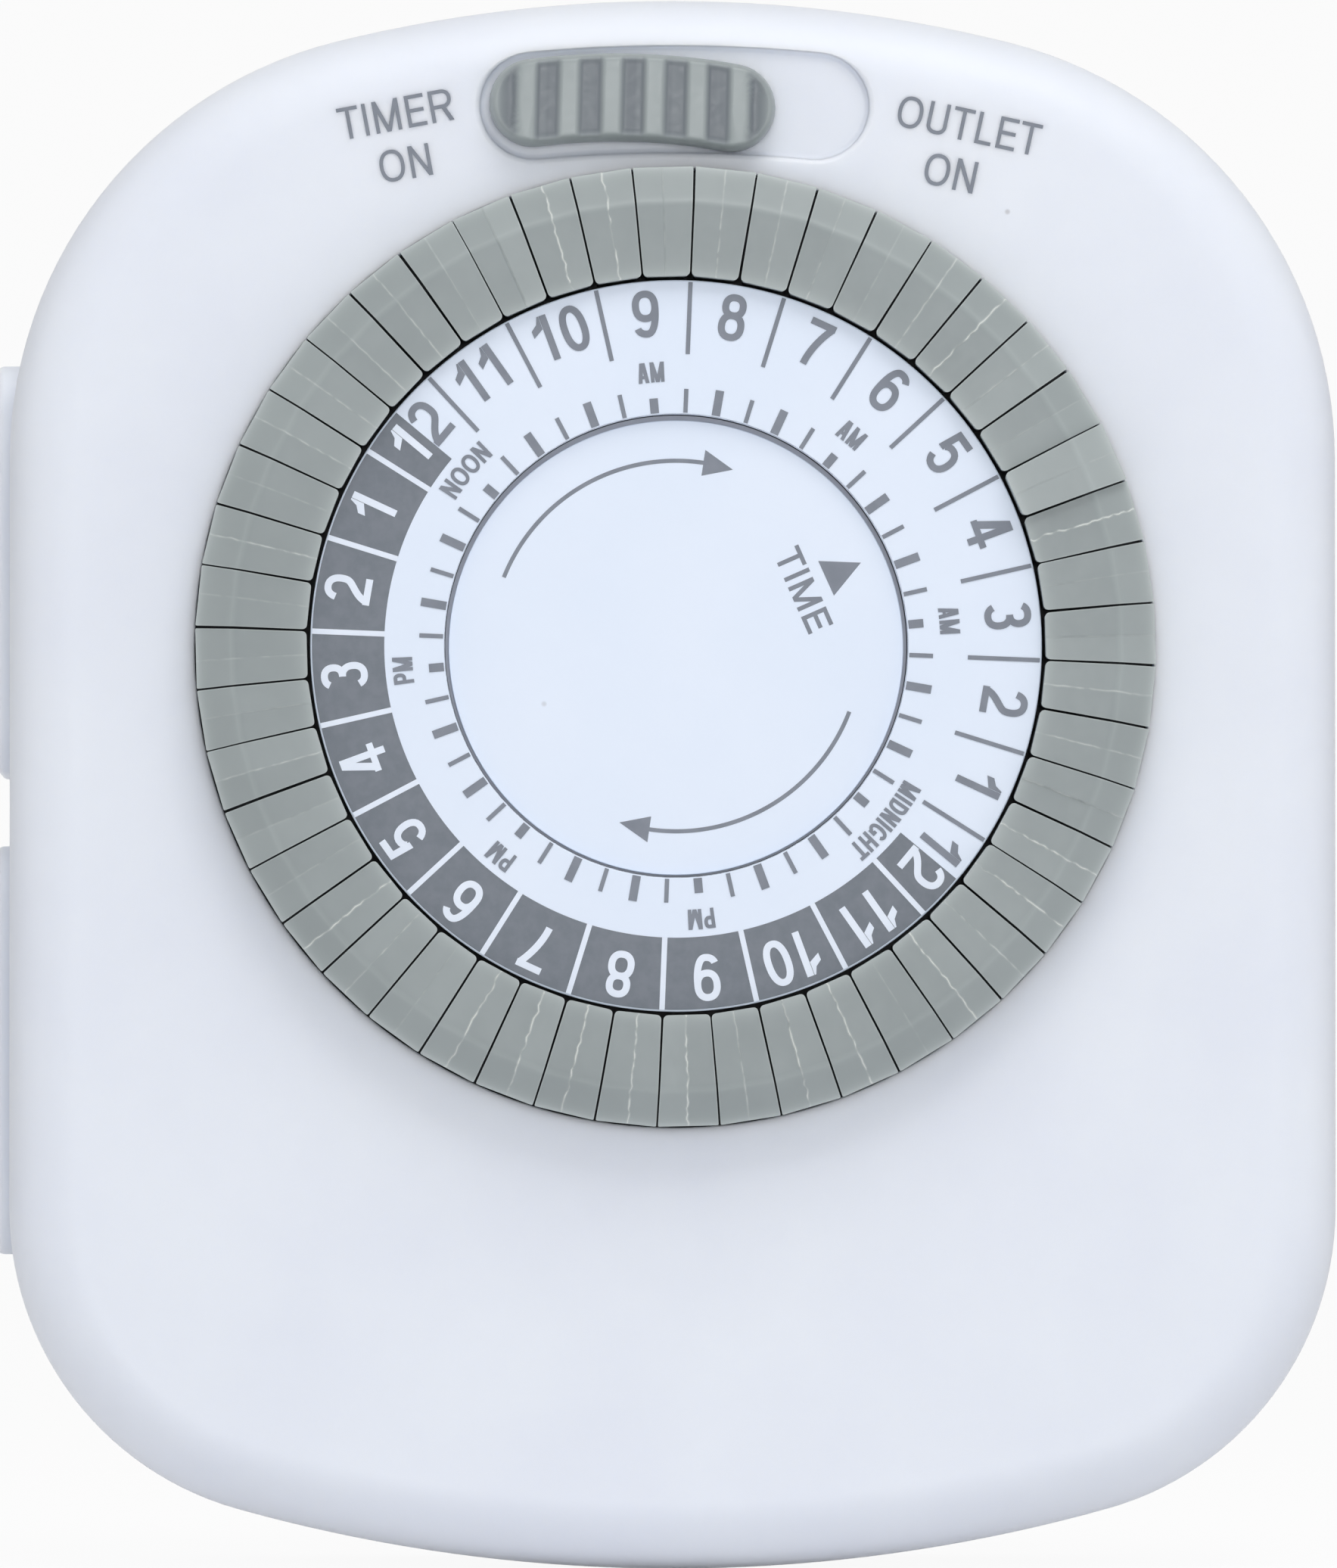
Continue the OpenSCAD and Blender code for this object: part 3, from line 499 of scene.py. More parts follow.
# %% [markdown]
# ## Body outline
# Seen from the front, the body is a shallow crown and sole with four large round corners. The corner circles
# touch the sides and the long arcs from inside, so a few radii fix the whole outline, and drawing it in by an
# inset is the same formula with smaller radii.

# %% Body outline
CROWN_R = 78.0
SHOULDER_R = 24.0
SOLE_R = 90.0
FOOT_R = 17.4
shoulder_x = half_w - SHOULDER_R
shoulder_y = top_y - CROWN_R + math.sqrt((CROWN_R - SHOULDER_R) ** 2 - shoulder_x**2)
crown_half = math.degrees(math.asin(shoulder_x / (CROWN_R - SHOULDER_R)))
foot_x = half_w - FOOT_R
foot_y = bottom_y + SOLE_R - math.sqrt((SOLE_R - FOOT_R) ** 2 - foot_x**2)
sole_half = math.degrees(math.asin(foot_x / (SOLE_R - FOOT_R)))


def outline(inset):
    """Outline of the body drawn in by an inset: corner arcs with the crown and the sole between them."""
    return np.concatenate([
        arc((shoulder_x, shoulder_y), SHOULDER_R - inset, 0, 90 - crown_half, 28),
        arc((0, top_y - CROWN_R), CROWN_R - inset, 90 - crown_half, 90 + crown_half, 28)[1:-1],
        arc((-shoulder_x, shoulder_y), SHOULDER_R - inset, 90 + crown_half, 180, 28),
        arc((-foot_x, foot_y), FOOT_R - inset, 180, 270 - sole_half, 28),
        arc((0, bottom_y + SOLE_R), SOLE_R - inset, 270 - sole_half, 270 + sole_half, 36)[1:-1],
        arc((foot_x, foot_y), FOOT_R - inset, 270 + sole_half, 360, 28),
    ])


def skin(heights, insets):
    """Loft through the outline at rising heights, each drawn in by its own inset."""
    return loft([level(outline(inset), z) for z, inset in zip(heights, insets)])


print(f"outline of {len(outline(0))} points, crown over {2 * crown_half:.1f} degrees")

# %% [markdown]
# ## Front cover
# The real cover is one moulding: a rounded shell with a round opening for the dial and a bean-shaped recess
# for the slide, both with soft rims. The shell is a loft whose last rings follow a quarter circle. The
# openings could be bridged by hand, but exact Booleans with flared cutters give the same soft rims in two
# lines.

# %% Front cover
WALL = 2.0
SKIN = 2.2
PARTING_Z = 24.0
SEAM = 0.2
FRONT_EDGE_R = 3.8
OPENING_R = 26.68
OPENING_RIM_R = 0.1
RECESS_RIM_R = 0.35
PAST = 1.0
BITE = 0.2
quarter = np.radians(np.linspace(0, 90, 17))


def rim(z, radius, reach=80.0, count=9):
    """Offsets and heights of a cutter that rounds the edge of a hole in a face at height z: a quarter
    circle that stops just short of the face, then a last point past it."""
    t = np.radians(np.linspace(0, reach, count))
    offset = radius * (1 - np.cos(t))
    height = z - radius + radius * np.sin(t)
    return np.append(offset, radius), np.append(height, z + PAST)


front_cover = new_object("front_cover_skin", skin(
    np.concatenate([[PARTING_Z, PARTING_Z + SEAM], face_z - FRONT_EDGE_R * (1 - np.sin(quarter))]),
    np.concatenate([[SEAM, 0], FRONT_EDGE_R * (1 - np.cos(quarter))]),
))
carve(front_cover, "DIFFERENCE", [prism(outline(WALL), PARTING_Z - PAST, face_z - SKIN)])
print("front shell", len(front_cover.data.polygons), "faces")

# %% Screw pillars, recess and openings
PILLAR_R = 3.0
SHANK_HOLE_R = 1.35
SEAT_Z = 12.0
SHANK_END_Z = 21.0
RECESS_BEND_R = 84.0
RECESS_L = 21.66
RECESS_H = 5.96
RECESS_LOW = 0.12
RECESS_FLOOR_Z = 32.95
RECESS_CORNER_R = 0.3
NECK_WAY = 3.77
NECK_H = 2.84
NECK_BELOW = 0.6
SCREWS = ((28.496, 7.892), (26.992, -48.547))
slide_y = 20.65
screws = [(side * x, y) for side in (-1, 1) for x, y in SCREWS]

carve(front_cover, "UNION", [prism(circle(p, PILLAR_R), SEAT_Z, face_z - SKIN + BITE) for p in screws])
bend = quarter[::4]
floor_insets = RECESS_CORNER_R * (1 - np.sin(bend))
floor_heights = RECESS_FLOOR_Z + RECESS_CORNER_R * (1 - np.cos(bend))
offset, height = rim(face_z, RECESS_RIM_R)
recess = loft([
    level(bent_slot((0, slide_y - RECESS_LOW), RECESS_BEND_R, RECESS_L + 2 * e, RECESS_H + 2 * e), z)
    for e, z in zip(np.append(-floor_insets, offset), np.append(floor_heights, height))
])
offset, height = rim(face_z, OPENING_RIM_R)
opening = turned(np.concatenate([
    [[0, PARTING_Z], [OPENING_R, PARTING_Z]], np.column_stack([OPENING_R + offset, height]), [[0, height[-1]]]
]), (0, dial_y), 192)
carve(front_cover, "DIFFERENCE", [
    recess, opening,
    prism(straight_slot((-NECK_WAY, slide_y), (NECK_WAY, slide_y), NECK_H), PARTING_Z, face_z - NECK_BELOW),
    *[prism(circle(p, SHANK_HOLE_R, 32), SEAT_Z - PAST, SHANK_END_Z) for p in screws],
])
dress(front_cover, housing_white, "housing", ["front_cover"])
print("front cover", len(front_cover.data.polygons), "faces")

# %% [markdown]
# ## Rear cover
# The deep rear moulding carries nearly everything inside: the dial's post, the lever's bearings, the
# motor's seat and the towers for the screws. Outside it shows two raised outlet faces and the slots for the
# plug's blades. It is built like the front: a loft, one cavity, then lists of what is added and what is
# cut.

# %% Rear shell and what it carries
BACK_EDGE_R = 1.2
ROOT_Z = 2.0
LEVER_X = 21.103
LEVER_PIVOT = (-20.0, 15.56)
BEARING_HALF = (1.3, 2.2)
BEARING_AWAY = 2.9
STRIP_RESTS = (((-32, -22.75), (-26, -14.75)), ((LEVER_X / 2, -1.5), (LEVER_X - 3, 1.5)))
STRIP_REST_Z = 3.5
RIB_YS = (-25.75, -18.75, -11.75)
RIB_END_X = -31.5
RIB_HALF = 0.8
RIB_Z = (8.8, 16.2)
MOTOR = (4.0, -37.375)
MOTOR_SEAT_R = (18.3, 17.0)
MOTOR_SEAT_Z = 4.2
PEG_X = 20.6
PEG_STEPS = ((2.5, 40, 4.6), (1.5, 32, 6.8))

rear_cover = new_object("rear_cover_shell", skin(
    np.concatenate([BACK_EDGE_R * (1 - np.sin(quarter[::-2])), [PARTING_Z - SEAM, PARTING_Z]]),
    np.concatenate([BACK_EDGE_R * (1 - np.cos(quarter[::-2])), [0, SEAM]]),
))
carve(rear_cover, "DIFFERENCE", [prism(outline(WALL), SKIN, PARTING_Z + PAST)])
carried = []
for x in (LEVER_X - BEARING_AWAY, LEVER_X + BEARING_AWAY):
    centre = np.array([x, LEVER_PIVOT[0]])
    bearing = rectangle(centre - BEARING_HALF, centre + BEARING_HALF)
    carried.append(prism(bearing, ROOT_Z, LEVER_PIVOT[1] + BEARING_HALF[1]))
carried += [prism(rectangle(*corners), ROOT_Z, STRIP_REST_Z) for corners in STRIP_RESTS]
for y in RIB_YS:
    rib = rectangle((-half_w + WALL - BITE, y - RIB_HALF), (RIB_END_X, y + RIB_HALF))
    carried.append(prism(rib, *RIB_Z))
carried.append(tube(*[circle(MOTOR, r, 96) for r in MOTOR_SEAT_R], ROOT_Z, MOTOR_SEAT_Z))
for side in (-1, 1):
    peg = (MOTOR[0] + side * PEG_X, MOTOR[1])
    carried += [prism(circle(peg, r, count), ROOT_Z, z) for r, count, z in PEG_STEPS]
print("rear shell", len(rear_cover.data.polygons), "faces, to carry", len(carried), "pieces")

# %% Outlet faces, lip, towers and post
LAND = (19.5, 23.0)
LAND_CORNER_R = 2.5
LAND_PROUD = 0.9
LAND_ROOT = 0.5
LAND_EDGE_R = 0.45
OUTLET_Z = 11.5
OUTLET_YS = (-5.2, -32.3)
SLOT_HALF_PITCH = 6.35
SLOT_W = 2.0
SLOT_LENGTHS = ((-1, 8.45), (1, 6.85))
SLOT_CORNER_R = 0.2
SLOT_RIM_R = 0.3
LIP_INSETS = (2.12, 3.02)
LIP_Z = 25.8
LIP_DROP = 1.6
LIP_ROOT_DROPS = (2.0, 0.4)
TOWER_R = 4.1
TOWER_GAP = 0.05
POST = ((5.5, 17.41), (4.0, 33.5))


def on_left(plan, out, y):
    """Plan points on the left side: their first axis runs along the depth, their second upwards, and out is
    the distance in front of the side wall."""
    plan = np.asarray(plan, float)
    return np.column_stack([np.full(len(plan), -half_w - out), y + plan[:, 1], OUTLET_Z + plan[:, 0]])


def outlet_land(y):
    """A raised face: a round rectangle, straight up from inside the wall, then drawn in along a quarter
    circle."""
    t = quarter[::2]
    insets = np.append(0, LAND_EDGE_R * (1 - np.cos(t)))
    outs = np.append(-WALL + LAND_ROOT, LAND_PROUD - LAND_EDGE_R * (1 - np.sin(t)))
    return loft([
        on_left(round_rectangle(LAND[0] - 2 * e, LAND[1] - 2 * e, LAND_CORNER_R - e), o, y)
        for e, o in zip(insets, outs)
    ])


def outlet_slot(y, side, length):
    """The way of one blade: a slot with a rounded mouth, through the raised face and the wall."""
    e, o = rim(LAND_PROUD, SLOT_RIM_R)
    e, o = np.append(0, e), np.append(-WALL - PAST, o)
    rings = [round_rectangle(SLOT_W + 2 * a, length + 2 * a, SLOT_CORNER_R + a) for a in e]
    return loft([on_left(ring + [side * SLOT_HALF_PITCH, 0], b, y) for ring, b in zip(rings, o)])


lip_inner = outline(LIP_INSETS[1])
lip = tube(outline(LIP_INSETS[0]), lip_inner, PARTING_Z - LIP_DROP, LIP_Z)
lip_root = tube(outline(WALL - BITE), lip_inner, *[PARTING_Z - drop for drop in LIP_ROOT_DROPS])
carve(rear_cover, "UNION", [
    lip, lip_root, *carried,
    *[outlet_land(y) for y in OUTLET_YS],
    *[prism(circle(p, TOWER_R), ROOT_Z, SEAT_Z - TOWER_GAP) for p in screws],
    *[prism(circle((0, dial_y), r, 72), ROOT_Z, z) for r, z in POST],
])
print("rear cover before its openings", len(rear_cover.data.polygons), "faces")

# %% Slots, counterbores and the lever's bearing holes
BORE_R = 2.8
BORE_Z = 10.0
BORE_RIM_R = 0.4
BLADE_X = 6.35
BLADE_SLOTS = ((-1, 8.19), (1, 6.59))
BLADE_SLOT_W = 1.74
BLADE_SLOT_CORNER_R = 0.15
PIN_HOLE_R = 1.06
PIN_HOLE_HALF = 5.0
POST_BORE = (2.55, 18.56)


def bore(p):
    """A screw's way from the back: a wide bore with a rounded mouth, then the shank's narrow hole."""
    e, z = rim(0, BORE_RIM_R)
    profile = [[0, SEAT_Z + PAST], [SHANK_HOLE_R, SEAT_Z + PAST], [SHANK_HOLE_R, BORE_Z], [BORE_R, BORE_Z]]
    return turned(profile + np.column_stack([BORE_R + e, -z]).tolist() + [[0, -PAST]], p, 64)


def blade_slot(side, length):
    """The way of one plug blade through the back, with a small rounded mouth."""
    e, z = rim(0, SLOT_RIM_R)
    e, z = np.append(0, e), np.append(SKIN + PAST, -z)
    rings = [round_rectangle(BLADE_SLOT_W + 2 * a, length + 2 * a, BLADE_SLOT_CORNER_R + a) for a in e]
    return loft([level(ring + [side * BLADE_X, 0], b) for ring, b in zip(rings, z)])


pin_y, pin_z = circle(LEVER_PIVOT, PIN_HOLE_R, 32).T
pin_hole = loft([
    np.column_stack([np.full(len(pin_y), LEVER_X + x), pin_y, pin_z]) for x in (-PIN_HOLE_HALF, PIN_HOLE_HALF)
])
carve(rear_cover, "DIFFERENCE", [
    pin_hole, prism(circle((0, dial_y), POST_BORE[0]), POST_BORE[1], POST[1][1] + PAST),
    *[bore(p) for p in screws], *[blade_slot(*slot) for slot in BLADE_SLOTS],
    *[outlet_slot(y, *slot) for y in OUTLET_YS for slot in SLOT_LENGTHS],
])
dress(rear_cover, housing_white, "housing", ["rear_cover"])
print("rear cover", len(rear_cover.data.polygons), "faces")

# %% [markdown]
# ## Tappets
# Each tappet is a wedge of grey plastic that a finger presses in. Its outer end slopes away behind a soft
# crest, its corners are rounded, and the two halves of its mould left a thin pale line along the middle,
# sometimes with a ragged fin. One cross-section, carried along the radius, gives all of this: its width
# follows the wedge, its height the crest, and five columns in its middle follow the mould line. A seeded
# draw makes no two alike. Highlights are painted into the colour: lighter on the crest, over the bevel, at
# both ends and along the side edges, and on the one tappet that stands raised.

# %% A tappet's plain form
TAPPETS = 48
FIRST_ANGLE = 6.0
TAPPET_OUT_R = 26.6
TAPPET_L = 6.15
TAPPET_GAP = 0.11
CAP_T = 3.6
BEVEL_W = 1.98
BEVEL_DROP = 1.35
FLAT_SLOPE = 0.05
CREST_SOFT = 0.1
INNER_CORNER_R = 0.24
OUTER_CORNER_R = 0.06
INNER_STEPS = INNER_CORNER_R * np.array([0, 0.1, 0.3, 0.6, 1.0])
MIDDLE_STEPS = np.linspace(0.4, TAPPET_L - 0.5, 34)
OUTER_STEPS = TAPPET_L - np.array([0.36, 0.2, 0.1, 0.04, 0.0])
tappet_top = drawn_box("tappet_01")[1][2]
tappet_in_r = TAPPET_OUT_R - TAPPET_L
half_pitch = math.radians(180 / TAPPETS)


def on_dial(across, along, z, angle):
    """Dial coordinates to the drawing: along is the radius at an angle, clockwise from the top, and across
    is the distance to the right of it."""
    a = np.radians(angle)
    x = across * np.cos(a) + along * np.sin(a)
    y = dial_y - across * np.sin(a) + along * np.cos(a)
    return np.stack(np.broadcast_arrays(x, y, z), -1)


def corner(distance, radius):
    """How far a rounded corner draws a side in, at a distance from the end."""
    near = np.clip(distance, 0, radius)
    return radius - np.sqrt(radius**2 - (radius - near) ** 2)


steps = np.concatenate([INNER_STEPS, MIDDLE_STEPS, OUTER_STEPS])
to_end, past_crest, from_middle = TAPPET_L - steps, steps - (TAPPET_L - BEVEL_W), steps - TAPPET_L / 2
rounding = corner(steps, INNER_CORNER_R) + corner(to_end, OUTER_CORNER_R)
half = (tappet_in_r + steps) * math.tan(half_pitch) - TAPPET_GAP / 2 - rounding
fall = FLAT_SLOPE * steps + BEVEL_DROP / BEVEL_W * CREST_SOFT * np.logaddexp(0, past_crest / CREST_SOFT)
print("a tappet has", len(steps), "sections and falls", round(fall[-1], 2), "mm")

# %% One tappet's surface
EDGE_W = 0.08
SHOULDER = 0.55
UNDERSIDE = 0.9
ROOM = 0.05
SEAM_COLUMNS = np.array([-0.1, -0.035, 0.0, 0.035, 0.1])
TOP_SIDES = np.array([-1, -1, -1, -1, -1, 0, 1, 1, 1, 1, 1])
TENT = np.array([0, 0, 0, 0, 0.3, 1, 0.3, 0, 0, 0, 0])
EDGES = np.array([1, 0, 0, 0, 0, 0, 0, 0, 0, 0, 1])
FIN_H = 0.03
FIN_STRENGTHS = (0.12, 0.35, 1.0)
FIN_SHARES = (0.35, 0.3, 0.35)
FIN_MEAN, FIN_SPREAD, FIN_RANGE = 0.8, 0.4, (0.15, 1.3)
JAG = 0.028
SEAM_SPREAD = (0.06, 0.012)
SHIFT_SPREAD = (0.012, 0.003)
LEAN_SPREAD = (0.012, 0.006)
SEAT_SPREAD = 0.015
TONE_SPREAD = 0.07
# Painted highlights: lighter colour on the crest, over the bevel, at the inner and outer ends, along the side
# edges and on the raised tappet, where light catches them.
CREST_HIGHLIGHT = (0.22, 0.16)
BEVEL_HIGHLIGHT = (0.2, 0.08)
INNER_END_HIGHLIGHT = (0.6, 0.35)
OUTER_END_HIGHLIGHT = (0.9, 0.2)
EDGE_HIGHLIGHT = 0.5
LIFTED_HIGHLIGHT = 0.3
pale_zones = CREST_HIGHLIGHT[0] * np.exp(-((past_crest / CREST_HIGHLIGHT[1]) ** 2))
pale_zones += BEVEL_HIGHLIGHT[0] / (1 + np.exp(-past_crest / BEVEL_HIGHLIGHT[1]))
pale_zones += INNER_END_HIGHLIGHT[0] * np.exp(-steps / INNER_END_HIGHLIGHT[1]) + OUTER_END_HIGHLIGHT[0] * np.exp(-to_end / OUTER_END_HIGHLIGHT[1])


def ragged(draw, side):
    """One random number for each section, mixed with a share of its neighbours."""
    return np.convolve(draw.normal(0, 1, len(steps) + 2), [side, 1, side], "valid")


def wander(draw, spread):
    """A straight line along the tappet, a little off the middle and a little askew."""
    return draw.normal(0, spread[0]) + draw.normal(0, spread[1]) * from_middle


def tappet_cap(draw, angle, lift):
    """Closed sections along the radius, with a cap at each end. The top slopes a little, then falls behind
    a crest: the fall is the softened positive part of the distance past the crest. The mould line's columns
    wander, and its fin is a small tent whose height comes and goes. Marks are the half's own random tone,
    painted highlights on the crest, bevel, ends and side edges, and the fin."""
    strong = draw.choice(FIN_STRENGTHS, p=FIN_SHARES)
    jag = ragged(draw, 0.6)
    seam = wander(draw, SEAM_SPREAD) + JAG * strong * jag
    fin = strong * np.clip(FIN_MEAN + FIN_SPREAD * ragged(draw, 0.5), *FIN_RANGE)
    shift = wander(draw, SHIFT_SPREAD)
    across = shift[:, None] + np.column_stack([
        -half, EDGE_W - half, -SHOULDER * half, seam[:, None] + SEAM_COLUMNS,
        SHOULDER * half, half - EDGE_W, half, UNDERSIDE * half, -UNDERSIDE * half,
    ])
    lean = draw.normal(0, LEAN_SPREAD[0]) * TOP_SIDES + draw.normal(0, LEAN_SPREAD[1]) * from_middle[:, None]
    top = (tappet_top + lift - ROOM - fall)[:, None] + lean + draw.normal(0, SEAT_SPREAD)
    top = np.minimum(top + FIN_H * fin[:, None] * TENT, tappet_top + lift)
    bottom = np.full((len(steps), 2), tappet_top + lift - CAP_T)
    radius = np.repeat((tappet_in_r + steps)[:, None], across.shape[1], 1)
    patch = loft(on_dial(across, radius, np.column_stack([top, bottom]), angle))
    # Painted highlights for each section, stronger on the raised tappet.
    highlights = pale_zones + (LIFTED_HIGHLIGHT if lift else 0.0)
    tone = np.where(TOP_SIDES < 0, *draw.normal(0, TONE_SPREAD, 2))
    shade = np.clip(tone, 0, 1) + np.zeros_like(top)
    pale = np.clip(np.clip(-tone, 0, 1) + highlights[:, None] + EDGE_HIGHLIGHT * EDGES, 0, 1)
    flash = np.clip(fin[:, None] * TENT, 0, 1)
    return patch, [np.column_stack([values, 0 * bottom]).ravel() for values in (shade, pale, flash)]


# %% Stem, barb and the whole set
STEM_HALF = 0.95
STEM = (21.7, 24.5)
BARB_REACH = 0.4
BARB_Z = (25.16, 27.36)
POINTER_TAPPET = 8
POINTER_LIFT = 0.5
CAP_BEVEL = 0.06
draw = np.random.default_rng(48)


def tappet_stem(angle, lift):
    """The stem under the cap and the wider barbed foot that keeps it in the dial, two upright blocks."""
    blocks = []
    for reach, low, high in ((0, BARB_Z[0], tappet_top - CAP_T + BITE), (BARB_REACH, *BARB_Z)):
        plan = rectangle((-STEM_HALF, STEM[0] - reach), (STEM_HALF, STEM[1] + reach))
        blocks.append(loft([on_dial(plan[:, 0], plan[:, 1], z + lift, angle) for z in (low, high)]))
    return join(*blocks)


for k in range(TAPPETS):
    angle = FIRST_ANGLE + 360 / TAPPETS * k
    lift = POINTER_LIFT if k == POINTER_TAPPET else 0.0
    cap, marks = tappet_cap(draw, angle, lift)
    stem = tappet_stem(angle, lift)
    node = f"tappet_{k + 1:02d}"
    shade, pale, flash = [np.append(values, np.zeros(len(stem[0]))) for values in marks]
    piece = new_object(node + "_cap", join(cap, stem), shade=shade, pale=pale, flash=flash)
    dress(piece, tappet_grey, node, [node], bevel=CAP_BEVEL)
print(TAPPETS, "tappets of", len(piece.data.polygons), "faces before their bevels")

# %% [markdown]
# ## Scale ring
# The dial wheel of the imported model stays, in dark grey. Its visible ring gets a thin moulded cover with
# soft edges, a turned profile, and the dark half for the hours after noon, a flat sector given a little
# thickness. A narrow turned edge widens the wheel's flange below the tappets, so that the inside doesn't
# show between them.

# %% Scale ring and the flange's edge
RING = (12.83, 20.27)
RING_EDGE_R = 0.1
RING_DEPTH = 0.5
LABEL_T = 0.03
FLANGE_EDGE = (25.8, 27.0)
FLANGE_EDGE_T = 1.5
PRESS_ROOM = 3.2
label_z = scale_z + LABEL_T
flange_z = tappet_top - CAP_T - PRESS_ROOM


def soft_edge(r, z, radius, side=1):
    """Profile of a rounded edge from its top down; side is 1 at an outer edge and -1 at an inner one."""
    return np.column_stack([r - side * radius * (1 - np.sin(bend)), z - radius * (1 - np.cos(bend))])


def closed(profile):
    """A profile that ends where it began."""
    return np.concatenate([profile, profile[:1]])


ring_profile = np.concatenate([
    [[RING[0], scale_z - RING_DEPTH]], soft_edge(RING[0], label_z, RING_EDGE_R, -1)[::-1],
    soft_edge(RING[1], label_z, RING_EDGE_R), [[RING[1], scale_z - RING_DEPTH]],
])
ring = new_object("scale_ring", turned(closed(ring_profile), (0, dial_y), 256))
dress(ring, label_white, "dial")
flange_profile = rectangle((FLANGE_EDGE[0], flange_z - FLANGE_EDGE_T), (FLANGE_EDGE[1], flange_z))
flange_edge = new_object("flange_edge", turned(closed(flange_profile), (0, dial_y), 192))
dress(flange_edge, wheel_grey, "dial")
print("scale ring at", round(label_z, 2), "mm, flange's edge at", round(flange_z, 2), "mm")

# %% Dark half of the scale
PRINT_T = 0.012
BAND_R = 16.17
DAY_ANGLES = (129.75, 309.75)


def sector(r0, r1, start, stop, z, count=96):
    """A flat piece of a ring between two radii and two angles, clockwise from the top."""
    angles = np.linspace(start, stop, count + 1)
    points = on_dial(0, np.array([r0, r1])[:, None], z, angles)
    return points.reshape(-1, 3), [grid_faces(2, len(angles))]


def print_layer(name, patch, material, body):
    """A thin print: a flat sheet that faces the viewer and gets its thickness downwards."""
    piece = new_object(name, patch)
    mesh = piece.data
    facing = np.empty(3 * len(mesh.polygons))
    mesh.polygons.foreach_get("normal", facing)
    turned_away = facing.reshape(-1, 3)[:, 1] > 0
    if turned_away.any():
        bm = bmesh.new()
        bm.from_mesh(mesh)
        bm.faces.ensure_lookup_table()
        bmesh.ops.reverse_faces(bm, faces=[bm.faces[i] for i in np.flatnonzero(turned_away)])
        bm.to_mesh(mesh)
        bm.free()
    body_of_print = piece.modifiers.new("Thickness", "SOLIDIFY")
    body_of_print.thickness = PRINT_T * MM
    body_of_print.offset = -1.0
    mesh.materials.append(material)
    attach(piece, body)
    return piece


band_out_r = RING[1] - RING_EDGE_R
dark_half = sector(BAND_R, band_out_r, *DAY_ANGLES, label_z + PRINT_T, 240)
print_layer("scale_dark_half", dark_half, print_dark, "dial")
print("dark half from", *DAY_ANGLES, "degrees")

# %% [markdown]
# ## Numbers and words
# Real print is a thin film of ink in plain sans-serif characters. Blender's own text object could write
# them, but its one typeface has other shapes, so each character is drawn here from strokes: straight bars,
# and bands that follow ovals. Strokes overlap, so a triangulation merges each word into one sheet. Numbers
# are turned rigidly to their hour, words are bent along the ring, and all that shares a colour becomes one
# thin piece.

# %% Strokes
OVAL_POWER = 0.88


def oval(cx, cy, rx, ry, start, stop, count=22):
    """A path on a squarish oval, between two angles: cosine and sine raised to a power a little below 1."""
    t = np.radians(np.linspace(start, stop, count + 1))
    c, s = np.cos(t), np.sin(t)
    x = cx + rx * np.sign(c) * np.abs(c) ** OVAL_POWER
    return np.stack([x, cy + ry * np.sign(s) * np.abs(s) ** OVAL_POWER], -1)


def sweep(points, count=14):
    """A cubic curve through its first and last point, drawn towards the two between."""
    t = np.linspace(0, 1, count + 1)[:, None]
    weights = ((1 - t) ** 3, 3 * t * (1 - t) ** 2, 3 * t**2 * (1 - t), t**3)
    return sum(weight * np.asarray(point, float) for weight, point in zip(weights, points))


def band(weight, *paths):
    """A stroke along paths that follow one another: quads between the path moved half a weight to each
    side."""
    path = np.concatenate([np.atleast_2d(np.asarray(part, float)) for part in paths])
    path = path[np.append(True, np.abs(np.diff(path, axis=0)).sum(1) > MERGE)]
    way = np.gradient(path, axis=0)
    side = np.stack([-way[:, 1], way[:, 0]], -1) / np.linalg.norm(way, axis=1)[:, None] * weight / 2
    left, right = path + side, path - side
    return list(np.stack([right[:-1], right[1:], left[1:], left[:-1]], 1))


def slant(x0, y0, x1, y1, width):
    """A leaning bar with level ends, given by the middles of its lower and upper end."""
    h = width / 2
    return np.array([[x0 - h, y0], [x0 + h, y0], [x1 + h, y1], [x1 - h, y1]])


def merged(shapes):
    """Overlapping flat shapes as one sheet: a triangulation bound to all their outlines, of which the
    triangles that lie in some shape are kept."""
    starts = np.cumsum([0] + [len(shape) for shape in shapes]).tolist()
    corners = [Vector(p) for p in np.concatenate(shapes).tolist()]
    loops = [list(range(a, b)) for a, b in zip(starts, starts[1:])]
    points, _, faces, _, _, sources = delaunay_2d_cdt(corners, [], loops, 1, 1e-5)
    return np.array([p[:] for p in points]), [np.array([f for f, source in zip(faces, sources) if source])]


# %% Numerals and capitals
NUMERAL_W = 0.56
NUMERAL_STEP = 0.6
JOINT = 0.54
BOWL = 0.26
HOOK = 0.2
ONE_FLAG = ((-0.27, 0.58), (-0.04, 0.71), (-0.04, 1.0), (-0.075, 1.0), (-0.14, 0.84), (-0.275, 0.74))


